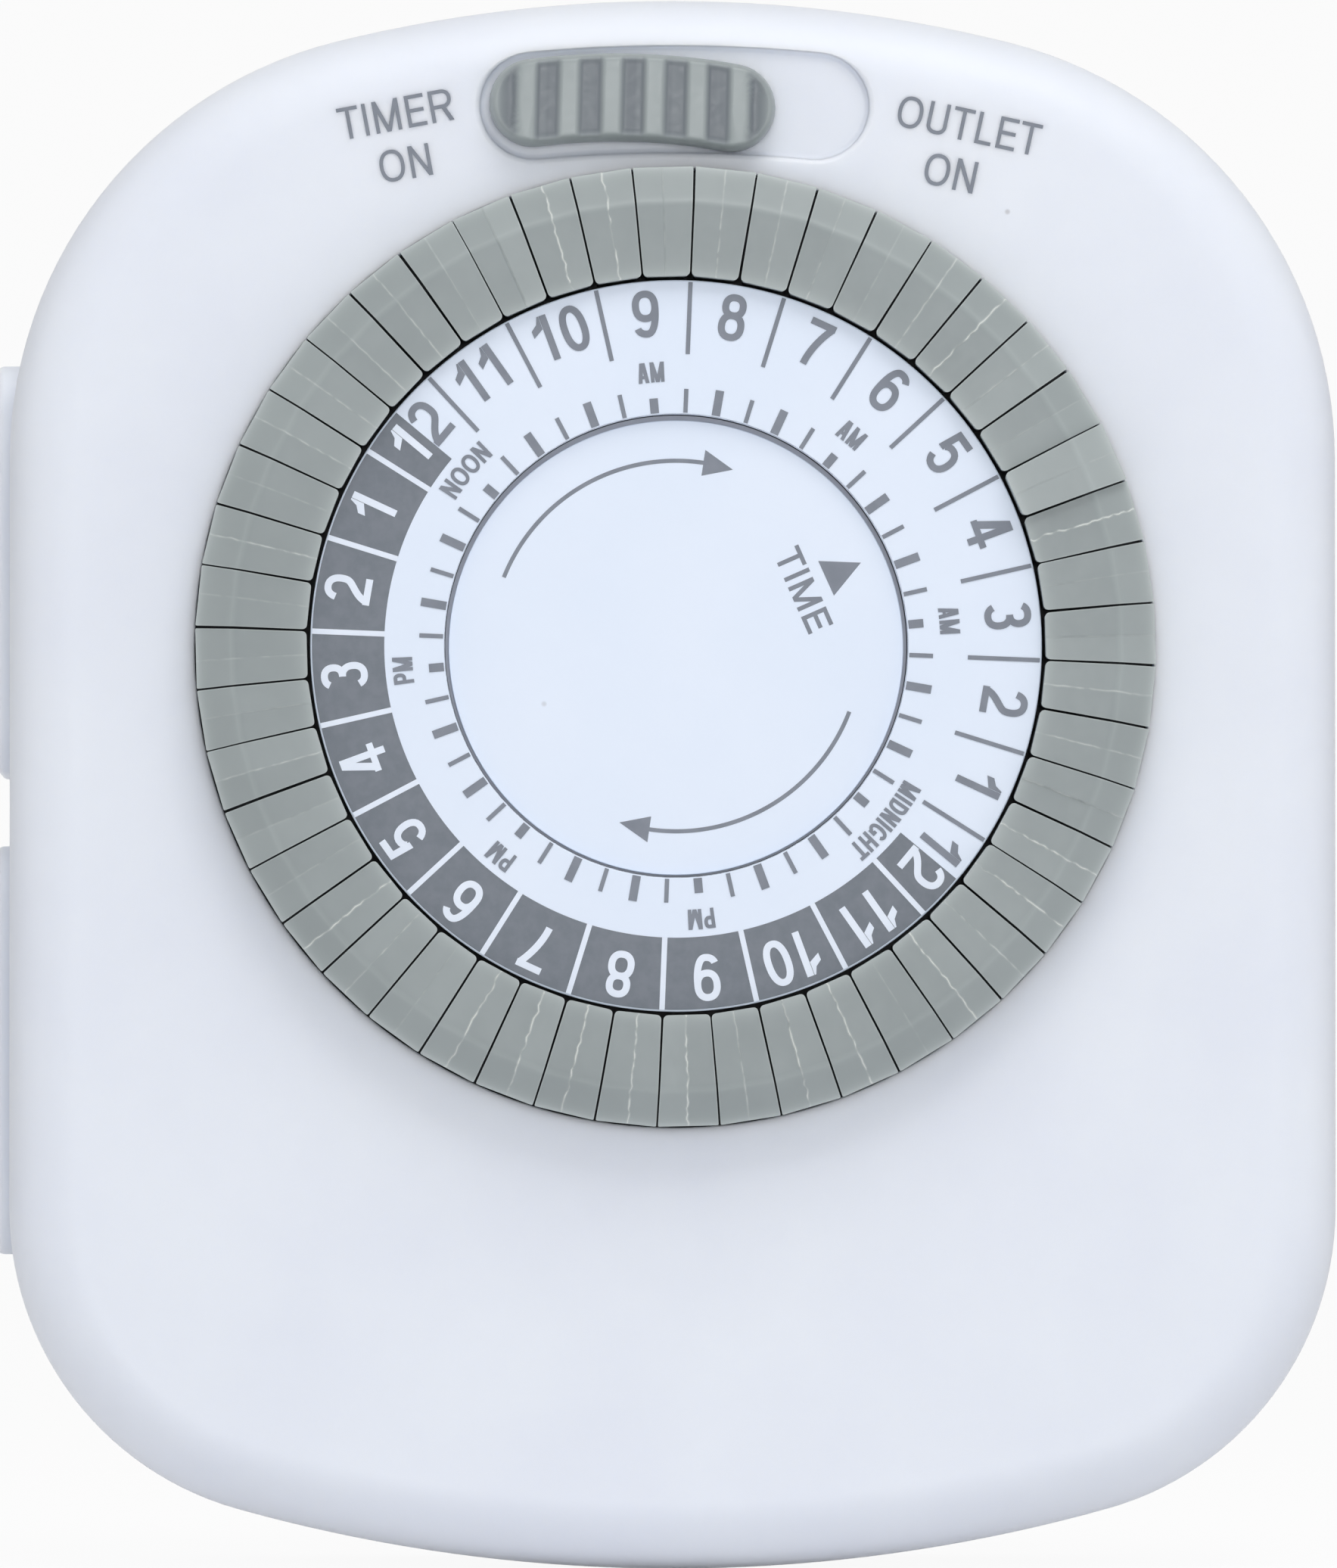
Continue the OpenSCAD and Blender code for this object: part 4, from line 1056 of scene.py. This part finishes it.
def numeral(digit, w):
    """One numeral of stroke weight w in a box one unit high, about the middle of its width. 9 is 6 turned
    round."""
    b, m = NUMERAL_W / 2, w / 2
    a, high = b - m, 1 - m
    upper, lower = (high - JOINT) / 2, (JOINT - m) / 2
    if digit == "0":
        return band(w, oval(0, 0.5, a, 0.5 - m, -5, 365, 44))
    if digit == "1":
        return [rectangle((0.045 - m, 0), (0.045 + m, 1)), np.array(ONE_FLAG)]
    if digit == "2":
        head = oval(0, high - 0.27, a, 0.27, 165, -25)
        tail = sweep([head[-1], head[-1] + [-0.05, -0.13], (m - a, 0.32), (-a, m)])
        return [*band(w, head, tail), rectangle((-b, 0), (b, w))]
    if digit == "3":
        return [*band(w, oval(0, JOINT + upper, 0.94 * a, upper, 155, -92)),
                *band(w, oval(0, m + lower, a, lower, 92, -155))]
    if digit == "4":
        stem, bar = 0.09, b + 0.03
        return [rectangle((stem - m, 0), (stem + m, 1)), rectangle((-bar, 0.2), (bar, 0.2 + 0.95 * w)),
                slant(-b + 0.05, 0.22, stem - m + 0.03, 1, 1.15 * w)]
    if digit == "5":
        return [rectangle((-a, 1 - w), (a + 0.01, 1)), slant(-a - 0.005, 0.46, -a + 0.05, 1, w),
                *band(w, oval(0, m + 0.275, a, 0.275, 140, -160))]
    if digit == "7":
        leg = sweep([(a, 1 - 0.7 * w), (0.1, 0.72), (-0.06, 0.38), (-0.07, 0)])
        return [rectangle((-b, 1 - w), (b, 1)), *band(w, leg)]
    if digit == "8":
        return [*band(w, oval(0, JOINT + upper, 0.9 * a, upper, -5, 365, 44)),
                *band(w, oval(0, m + lower, a, lower, -5, 365, 44))]
    spine = oval(0, m + BOWL, a, high - m - BOWL, 180, 90), oval(0, high - HOOK, a, HOOK, 90, 20)
    six = [*band(w, oval(0, m + BOWL, a, BOWL, -5, 365, 44)), *band(w, *spine)]
    return six if digit == "6" else [[0, 1] - shape for shape in six]


CAPITAL_W = {
    "A": 0.66, "D": 0.68, "E": 0.59, "G": 0.74, "H": 0.66, "L": 0.51, "M": 0.81, "N": 0.65, "O": 0.78,
    "P": 0.62, "R": 0.69, "T": 0.65, "U": 0.63,
}


def capital(letter, w, b):
    """One capital of stroke weight w and half width b in a box one unit high, about the middle of its
    width."""
    m = w / 2
    a, high, waist = b - m, 1 - m, 0.47
    left, right = rectangle((-b, 0), (w - b, 1)), rectangle((b - w, 0), (b, 1))
    head, foot = rectangle((-b, 1 - w), (b, 1)), rectangle((-b, 0), (b, w))
    post = rectangle((-m, 0), (m, 1))
    bow = oval(0.1 * b, (high + waist) / 2, a - 0.1 * b, (high - waist) / 2, 90, -90)
    lobe = band(w, (-a, high), bow, (-a, waist))
    belly = band(w, (-a, high), oval(-0.1 * b, 0.5, a + 0.1 * b, high - 0.5, 90, -90, 30), (-a, m))
    cup = 0.9 * a + m
    shapes = {
        "A": [slant(1.1 * m - b, 0, -0.03, 1, 1.1 * w), slant(b - 1.1 * m, 0, 0.03, 1, 1.1 * w),
              rectangle((-0.6 * b, 0.21), (0.6 * b, 0.21 + 0.85 * w))],
        "D": [left, *belly],
        "E": [left, head, foot, rectangle((-b, 0.51 - m), (0.86 * b, 0.51 + m))],
        "G": [*band(w, oval(0, 0.5, a, 0.5 - m, 42, 322, 36)), rectangle((b - w, 0.12), (b, 0.5)),
              rectangle((0.05, 0.5 - w), (b, 0.5))],
        "H": [left, right, rectangle((-b, 0.52 - m), (b, 0.52 + m))],
        "I": [post],
        "L": [left, foot],
        "M": [left, right, slant(0, 0, -a, 1, 1.1 * w), slant(0, 0, a, 1, 1.1 * w)],
        "N": [left, right, slant(a, 0, -a, 1, 1.15 * w)],
        "O": band(w, oval(0, 0.5, a, 0.5 - m, -5, 365, 48)),
        "P": [left, *lobe],
        "R": [left, *lobe, slant(b - 0.65 * w, 0, 0.05, waist, 1.25 * w)],
        "T": [head, post],
        "U": band(w, (-a, 1), oval(0, cup, a, cup - m, 180, 360), (a, 1)),
    }
    return shapes[letter]


# %% Words
STRAIGHT, ROUND, OPEN, BARE = 0.105, 0.065, 0.055, 0.035
MARGINS = {
    "A": (BARE, BARE), "D": (STRAIGHT, ROUND), "E": (STRAIGHT, OPEN), "G": (ROUND, STRAIGHT),
    "L": (STRAIGHT, OPEN), "O": (ROUND, ROUND), "P": (STRAIGHT, OPEN), "R": (STRAIGHT, OPEN),
    "T": (BARE, BARE),
}


def letters(text, height, weight, wide=1.0, spread=1.0):
    """A word as one flat sheet about its middle, in millimetres. Each character takes its width and a
    margin on both sides; wide stretches the characters but not their strokes, and spread the margins."""
    w = weight / height
    shapes, place = [], 0.0
    for character in text:
        if character.isdigit():
            room, drawn = NUMERAL_STEP / 2, numeral(character, w)
            before = after = 0.0
        else:
            room = CAPITAL_W.get(character, w / wide) * wide / 2
            drawn = capital(character, w, room)
            before, after = [spread * margin for margin in MARGINS.get(character, (STRAIGHT, STRAIGHT))]
        place += before + room
        shapes += [shape + [place, 0] for shape in drawn]
        place += room + after
    plan, faces = merged(shapes)
    return (plan - [place / 2, 0.5]) * height, faces


def on_hour(flat, angle, radius, z, shift=0.0):
    """Turns flat letters rigidly to an angle, tops outwards, at a radius."""
    plan, faces = flat
    return on_dial(plan[:, 0] + shift, plan[:, 1] + radius, z, angle), faces


def round_ring(flat, angle, radius, z):
    """Bends flat letters along the ring: width becomes angle and height becomes radius."""
    plan, faces = flat
    return on_dial(0, radius + plan[:, 1], z, angle + np.degrees(plan[:, 0] / radius)), faces


def spokes(angles, r0, r1, width, z):
    """Straight radial bars, four points each, at many angles at once."""
    across = width / 2 * np.array([-1, 1, 1, -1])
    points = on_dial(across, np.array([r0, r0, r1, r1]), z, np.asarray(angles, float)[:, None])
    return points.reshape(-1, 3), [np.arange(4 * len(angles)).reshape(-1, 4)]


# %% Print on the scale ring
HOURS = 24
FIRST_HOUR = 8
MIDNIGHT_PLACE = 8
HOUR_0 = 9.75
HOUR_STEP = 360 / HOURS
DIGIT_H = 2.61
DIGIT_R = 18.45
DIGIT_WEIGHT = 0.39
PAIR_SHIFT = NUMERAL_STEP * DIGIT_H / 2
WORD_R = 15.2
WORD_H = 1.12
WORD_WEIGHT = 0.2
WORD_FIT = {"NOON": (0.95, 0.6), "MIDNIGHT": (0.8, 0.55), "AM": (0.85, 0.6), "PM": (0.85, 0.6)}
ink_z = label_z + 2.5 * PRINT_T
hours = [(FIRST_HOUR - 1 - k) % 12 + 1 for k in range(HOURS)]
grey_print, white_print = [], []
for k, hour in enumerate(hours):
    angle = HOUR_0 + HOUR_STEP * k
    evening = DAY_ANGLES[0] < angle < DAY_ANGLES[1]
    digits = str(hour)
    for i, digit in enumerate(digits):
        flat = letters(digit, DIGIT_H, DIGIT_WEIGHT)
        shift = (2 * i - 1) * PAIR_SHIFT if len(digits) == 2 else 0.0
        on_dark = (i == 1) == (k == MIDNIGHT_PLACE) if hour == 12 else evening
        (white_print if on_dark else grey_print).append(on_hour(flat, angle, DIGIT_R, ink_z, shift))
    word = ""
    if hour == 12:
        word = "MIDNIGHT" if k == MIDNIGHT_PLACE else "NOON"
    elif hour % 3 == 0:
        word = "PM" if evening else "AM"
    if word:
        flat = letters(word, WORD_H, WORD_WEIGHT, *WORD_FIT[word])
        grey_print.append(round_ring(flat, angle, WORD_R, ink_z))
print("print on the ring", len(grey_print), "grey and", len(white_print), "white characters and words")

# %% Lines and ticks on the scale ring
LINE_W = 0.24
GAP_W = 0.3
TICK_W = 0.47
TICK_R = (12.92, 14.34)
SHORT_TICK_R = 13.75
THIN_TICK_R = 14.24
cells = HOUR_0 + HOUR_STEP * (np.arange(HOURS) - 0.5)
evening_cells = (cells > DAY_ANGLES[0]) & (cells < DAY_ANGLES[1])
hour_angles = HOUR_0 + HOUR_STEP * np.arange(HOURS)
short = np.array(hours) % 3 == 0
white_print.append(spokes(cells[evening_cells], BAND_R, band_out_r, GAP_W, ink_z))
grey_print += [
    spokes(cells[~evening_cells], BAND_R, band_out_r, LINE_W, ink_z),
    spokes(hour_angles[~short], *TICK_R, TICK_W, ink_z),
    spokes(hour_angles[short], TICK_R[0], SHORT_TICK_R, TICK_W, ink_z),
    spokes(cells, TICK_R[0], THIN_TICK_R, LINE_W, ink_z),
]
print_layer("scale_print_grey", join(*grey_print), print_grey, "dial")
print_layer("scale_print_white", join(*white_print), print_white, "dial")
print("lines between", len(cells), "hours and", len(cells) + len(hour_angles), "ticks")

# %% [markdown]
# ## Centre disc
# The disc stands still while the dial turns round it. It is a turned piece with a collar and a stem that
# enters the post. Its face lies on a ledge and sits a little low, so the groove round it is widest at the
# top. The ledge is painted grey as the shadow in that groove. Its print is a pointer with the word TIME and
# two arrows for the way of turning.

# %% Centre disc
disc_low, disc_high = drawn_box("centre_disc")
disc_z = disc_high[2]
DISC_GAP = 0.04
DISC_T = 1.4
DISC_EDGE_R = 0.06
FACE_R = 12.6
FACE_LOW = 0.09
LEDGE_DROP = 0.32
LEDGE_BITE = 0.1
COLLAR = (6.5, 33.5)
DISC_STEM_R = 2.5
disc_r = RING[0] - DISC_GAP
ledge_z = disc_z - LEDGE_DROP
face_foot_z = ledge_z - LEDGE_BITE
face_profile = np.concatenate([
    [[0, disc_z]], soft_edge(FACE_R, disc_z, DISC_EDGE_R), [[FACE_R, face_foot_z], [0, face_foot_z]],
])
base_profile = [
    [0, ledge_z], [disc_r, ledge_z], [disc_r, disc_z - DISC_T], [COLLAR[0], disc_z - DISC_T], COLLAR,
    [DISC_STEM_R, COLLAR[1]], [DISC_STEM_R, disc_low[2]], [0, disc_low[2]],
]
raised = turned(face_profile, (0, dial_y - FACE_LOW), 192)
base = turned(base_profile, (0, dial_y), 192)
# The ledge takes the painted shadow's grey; the face sits low, so the grey groove is widest at the top.
ledge = np.repeat([0.0, 1.0], [len(raised[0]), len(base[0])])
disc = new_object("centre_disc_face", join(raised, base), ledge=ledge)
dress(disc, label_white, "housing", ["centre_disc"])
print("centre disc of radius", round(disc_r, 2), "mm")

# %% Pointer, word and arrows
POINTER_ANGLE = 65.7
POINTER = ((11.25, 0.0), (9.19, -6.6), (9.19, 6.6))
ARROW_R = 10.27
ARROW_W = 0.23
ARROW_HEAD_W = 1.45
ARROWS = ((-68.3, 8.5, 17.9), (110.7, 188.3, 197.8))
TIME_R = 7.73
TIME_ANGLE = 66.2
TIME_H = 1.5
TIME_WEIGHT = 0.24
TIME_FIT = (1.2, 1.05)
TIME_TURN = 66.1
disc_ink_z = disc_z + PRINT_T


def flat_triangle(corners, z):
    """Three corners given as radius and angle, clockwise from the top."""
    r, a = np.array(corners, float).T
    return on_dial(0, r, z, a), [np.array([[0, 1, 2]])]


word, word_faces = letters("TIME", TIME_H, TIME_WEIGHT, *TIME_FIT)
word = level(turn(word, -TIME_TURN), 0.0) + on_dial(0, TIME_R, disc_ink_z, TIME_ANGLE)
disc_marks = [(word, word_faces), flat_triangle([(r, POINTER_ANGLE + a) for r, a in POINTER], disc_ink_z)]
for start, neck, tip in ARROWS:
    disc_marks.append(sector(ARROW_R - ARROW_W / 2, ARROW_R + ARROW_W / 2, start, neck, disc_ink_z, 60))
    wings = [(ARROW_R - ARROW_HEAD_W / 2, neck), (ARROW_R + ARROW_HEAD_W / 2, neck)]
    disc_marks.append(flat_triangle([(ARROW_R, tip), *wings], disc_ink_z))
print_layer("centre_print", join(*disc_marks), print_grey, "housing")
print("print on the disc", len(disc_marks), "marks")

# %% [markdown]
# ## Override slide
# The slide is a bean-shaped knob with six finger ribs and scooped valleys between them. Its top is worked
# out as rings drawn in from its outline to its middle line: at each point the distance from the edge gives
# the rounded rim and fades the valleys out, and the place along the knob gives the ribs. The valleys are
# painted darker, with random streaks, as the shade that falls in them.

# %% Slide knob
KNOB_L = 15.9
KNOB_H = 4.85
KNOB_BEND_R = 36.0
KNOB_Z = (33.03, 35.1)
KNOB_RIM = (0.42, 1.2)
KNOB_LEAN = -1.4
RIB_PITCH = 2.37
RIB_W = 1.1
RIB_EDGE = 0.36
VALLEY_DEPTH = 0.22
VALLEY_MARGIN = (0.05, 0.55)
END_FADE = 1.2
SLIDE_X = -2.45
KNOB_SHIFT = (0.1, -0.06)
# Random streaks along the knob vary how much shade is painted in the valleys.
SHADE_STREAK_RANGE = (0.82, 1.0)
at_slide = np.array([SLIDE_X, slide_y])
shade_streak_x = np.linspace(-KNOB_L / 2, KNOB_L / 2, 90)
shade_streaks = np.random.default_rng(6).uniform(*SHADE_STREAK_RANGE, len(shade_streak_x))


def smooth(value, low, high):
    """A smooth step from 0 to 1 between two values."""
    t = np.clip((value - low) / (high - low), 0, 1)
    return t * t * (3 - 2 * t)


def ribs(x):
    """1 between the ribs, 0 on a rib: a smooth step in the distance from the nearest rib's middle."""
    from_rib = np.abs((x / RIB_PITCH) % 1 - 0.5) * RIB_PITCH
    return smooth(from_rib, RIB_W / 2 - RIB_EDGE / 2, RIB_W / 2 + RIB_EDGE / 2)


def knob_top(inset):
    """One ring of the knob's top at a distance from its outline, with the painted shade of its valleys."""
    plan = bent_slot((0, 0), KNOB_BEND_R, KNOB_L - 2 * inset, max(KNOB_H - 2 * inset, 1e-4), 150, 18)
    t = np.clip(inset / KNOB_RIM[0], 0, 1)
    drop = KNOB_RIM[1] * (1 - np.sqrt(1 - (1 - t) ** 2))
    x = plan[:, 0]
    # The valleys' mask deepens them and, streaked, paints shade into them.
    valley = ribs(x) * smooth(inset, *VALLEY_MARGIN) * smooth(KNOB_L / 2 - np.abs(x), 0, END_FADE)
    z = KNOB_Z[1] - drop - VALLEY_DEPTH * valley
    place = turn(plan, KNOB_LEAN) + at_slide + KNOB_SHIFT
    return np.column_stack([place, z]), valley * np.interp(x, shade_streak_x, shade_streaks)


insets = np.concatenate([
    KNOB_RIM[0] * (1 - np.cos(quarter[::2])), np.linspace(KNOB_RIM[0], KNOB_H / 2, 16)[1:],
])
rings, valleys = zip(*[knob_top(e) for e in insets])
bottom = rings[0] * [1, 1, 0] + [0, 0, KNOB_Z[0]]
knob_points = np.asarray([bottom, *rings])
cap_ring = np.arange(knob_points.shape[1])[None, ::-1]
knob = (knob_points.reshape(-1, 3), [grid_faces(*knob_points.shape[:2], close_cols=True), cap_ring])
print("knob's top of", len(rings), "rings")

# %% Slide's neck, foot and finger
NECK = (29.68, 33.1)
NECK_HALF = 1.2
NECK_W = 2.6
FOOT_HALF = 5.6
FOOT_T = 1.5
FINGER = (18.65, -5.15)
foot_z = (NECK[0], NECK[0] + FOOT_T)
under = join(
    prism(straight_slot((-NECK_HALF, 0), (NECK_HALF, 0), NECK_W) + at_slide, *NECK),
    prism(straight_slot((-FOOT_HALF, 0), (FOOT_HALF, 0), KNOB_H) + at_slide, *foot_z),
    prism(straight_slot((0, 0), FINGER, NECK_W) + at_slide, *foot_z),
)
# Painted valley shade on the knob's top; none on the parts below.
valley = np.concatenate([0 * valleys[0], *valleys, np.zeros(len(under[0]))])
slide = new_object("override_knob", join(knob, under), valley=valley)
dress(slide, slide_grey, "override", ["slide_knob"], sharp=50)
print("slide knob", len(slide.data.polygons), "faces")

# %% [markdown]
# ## Legends on the front
# Two short legends beside the recess say what the slide does at each end. They are printed straight on the
# face and lean with the crown.

# %% Legends
LEGEND_H = 1.79
LEGEND_WEIGHT = 0.21
LEGENDS = (
    ("TIMER", (-15.53, 19.66), 10.7), ("ON", (-14.96, 16.93), 10.4),
    ("OUTLET", (16.37, 19.09), -12.3), ("ON", (15.38, 16.44), -12.3),
)
legend_marks = []
for text, place, lean in LEGENDS:
    plan, faces = letters(text, LEGEND_H, LEGEND_WEIGHT)
    legend_marks.append((level(turn(plan, lean) + place, face_z + PRINT_T), faces))
print_layer("front_legends", join(*legend_marks), print_grey, "housing")
print(len(LEGENDS), "legends")

# %% [markdown]
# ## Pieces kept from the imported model
# The lever, motor, drive gear, brass strips, screws and the wheel under the scale are right as they are. They
# only get their finishes.

# %% Finishes of the kept pieces
KEPT = {
    "dial_wheel": wheel_grey, "follower_lever": nylon, "drive_gear": nylon, "timer_motor": zinc,
    "neutral_strip": brass, "line_strip": brass, "load_strip": brass, "cover_screws": zinc,
}
for node, material in KEPT.items():
    mesh = frame["nodes"][node].data
    mesh.materials.clear()
    mesh.materials.append(material)
print("kept", list(KEPT))

# %% [markdown]
# ## Floor, light and camera
# A product picture needs little: a pale floor, a backdrop that the camera sees as white, a wide soft lamp
# from above, two from the sides, one near the camera and a plain bright surround. The camera looks straight
# at the front from a distance, so that the body fills the frame.

# %% Floor and backdrop
WHITE_TO_CAMERA = 0.93
PAPER = (238, 238, 240)
PAPER_ROUGH = 0.9
FLOOR_HALF = 3000.0
FLOOR_FRONT_Z = 2500.0
BACKDROP_Y = 2500.0
SWEEP_R = 400.0
BACK_Z = -1200.0


def stage_material():
    """Pale paper. What the camera, a mirror or a glass sees of it is mostly plain white, and the rest is
    lit paper, so that the object's shadow stays."""
    material = bpy.data.materials.new("studio paper")
    material.use_nodes = True
    tree = material.node_tree
    paper = tree.nodes["Principled BSDF"]
    paper.inputs["Base Color"].default_value = linear(*PAPER)
    paper.inputs["Roughness"].default_value = PAPER_ROUGH
    path = add_node(tree, "ShaderNodeLightPath").outputs
    seen = math_node(tree, "MAXIMUM", path["Is Camera Ray"], path["Is Glossy Ray"])
    seen = math_node(tree, "MAXIMUM", seen, path["Is Transmission Ray"])
    white = math_node(tree, "MULTIPLY", seen, WHITE_TO_CAMERA)
    glow = add_node(tree, "ShaderNodeEmission", Color=(1, 1, 1, 1), Strength=1.0)
    mix = add_node(tree, "ShaderNodeMixShader")
    feed(tree, mix.inputs, (white, paper.outputs[0], glow.outputs[0]))
    tree.links.new(mix.outputs[0], tree.nodes["Material Output"].inputs["Surface"])
    return material


paper = stage_material()
backdrop = np.concatenate([
    [[bottom_y, FLOOR_FRONT_Z]],
    np.array([bottom_y + SWEEP_R, BACK_Z]) + SWEEP_R * np.stack([-np.cos(quarter), -np.sin(quarter)], -1),
    [[BACKDROP_Y, BACK_Z - SWEEP_R]],
])
sides = np.array([-FLOOR_HALF, FLOOR_HALF])
floor_points = np.stack(np.broadcast_arrays(sides[None], backdrop[:, :1], backdrop[:, 1:]), -1)
floor = new_object("studio_floor", (floor_points.reshape(-1, 3), [grid_faces(len(backdrop), 2)]))
floor.data.materials.append(paper)
floor.data.polygons.foreach_set("use_smooth", np.ones(len(floor.data.polygons), bool))
print("floor at", round(bottom_y, 2), "mm")

# %% Lamps and surround
LAMPS = (
    ("key", (60.0, 433.0, 293.0), 300.0, 1.1), ("left", (-700.0, 0.0, 200.0), 400.0, 0.55),
    ("right", (700.0, 0.0, 200.0), 400.0, 0.55), ("front", (70.0, 20.0, 1150.0), 300.0, 2.85),
)
SURROUND = 0.505
middle = (0.0, (top_y + bottom_y) / 2, face_z)


def aimed(name, data, place, aim):
    """A lamp or a camera at a place, turned towards an aim, both in drawing millimetres."""
    piece = bpy.data.objects.new(name, data)
    bpy.context.scene.collection.objects.link(piece)
    start, end = stand([place, aim])
    piece.location = start
    piece.rotation_euler = Vector(end - start).to_track_quat("-Z", "Y").to_euler()
    return piece


for name, place, size, watts in LAMPS:
    light = bpy.data.lights.new(name, "AREA")
    light.size = size * MM
    light.energy = watts
    aimed(name, light, place, middle)
world = bpy.data.worlds.new("surround")
world.use_nodes = True
world.node_tree.nodes["Background"].inputs["Color"].default_value = (1, 1, 1, 1)
world.node_tree.nodes["Background"].inputs["Strength"].default_value = SURROUND
bpy.context.scene.world = world
bpy.context.scene.view_settings.view_transform = "Standard"
print("lamps", [name for name, *_ in LAMPS])

# %% Camera
CAMERA_AWAY = 900.0
SILHOUETTE_Z = 29.7
FRAME_CENTRE = (-0.253, -17.5)
FRAME_H = 87.46
VIEWPOINT = (-22.0, -20.0)
SENSOR = 36.0
camera_data = bpy.data.cameras.new("front camera")
camera_data.sensor_width = SENSOR
camera_data.lens = SENSOR * CAMERA_AWAY / FRAME_H
camera_data.clip_start = 0.01
camera_data.clip_end = 20.0
eye = (*np.add(FRAME_CENTRE, VIEWPOINT), SILHOUETTE_Z + CAMERA_AWAY)
camera = aimed("front camera", camera_data, eye, (*FRAME_CENTRE, SILHOUETTE_Z))
bpy.context.scene.camera = camera
print("camera at", tuple(round(c, 3) for c in camera.location), "lens", round(camera_data.lens, 1))
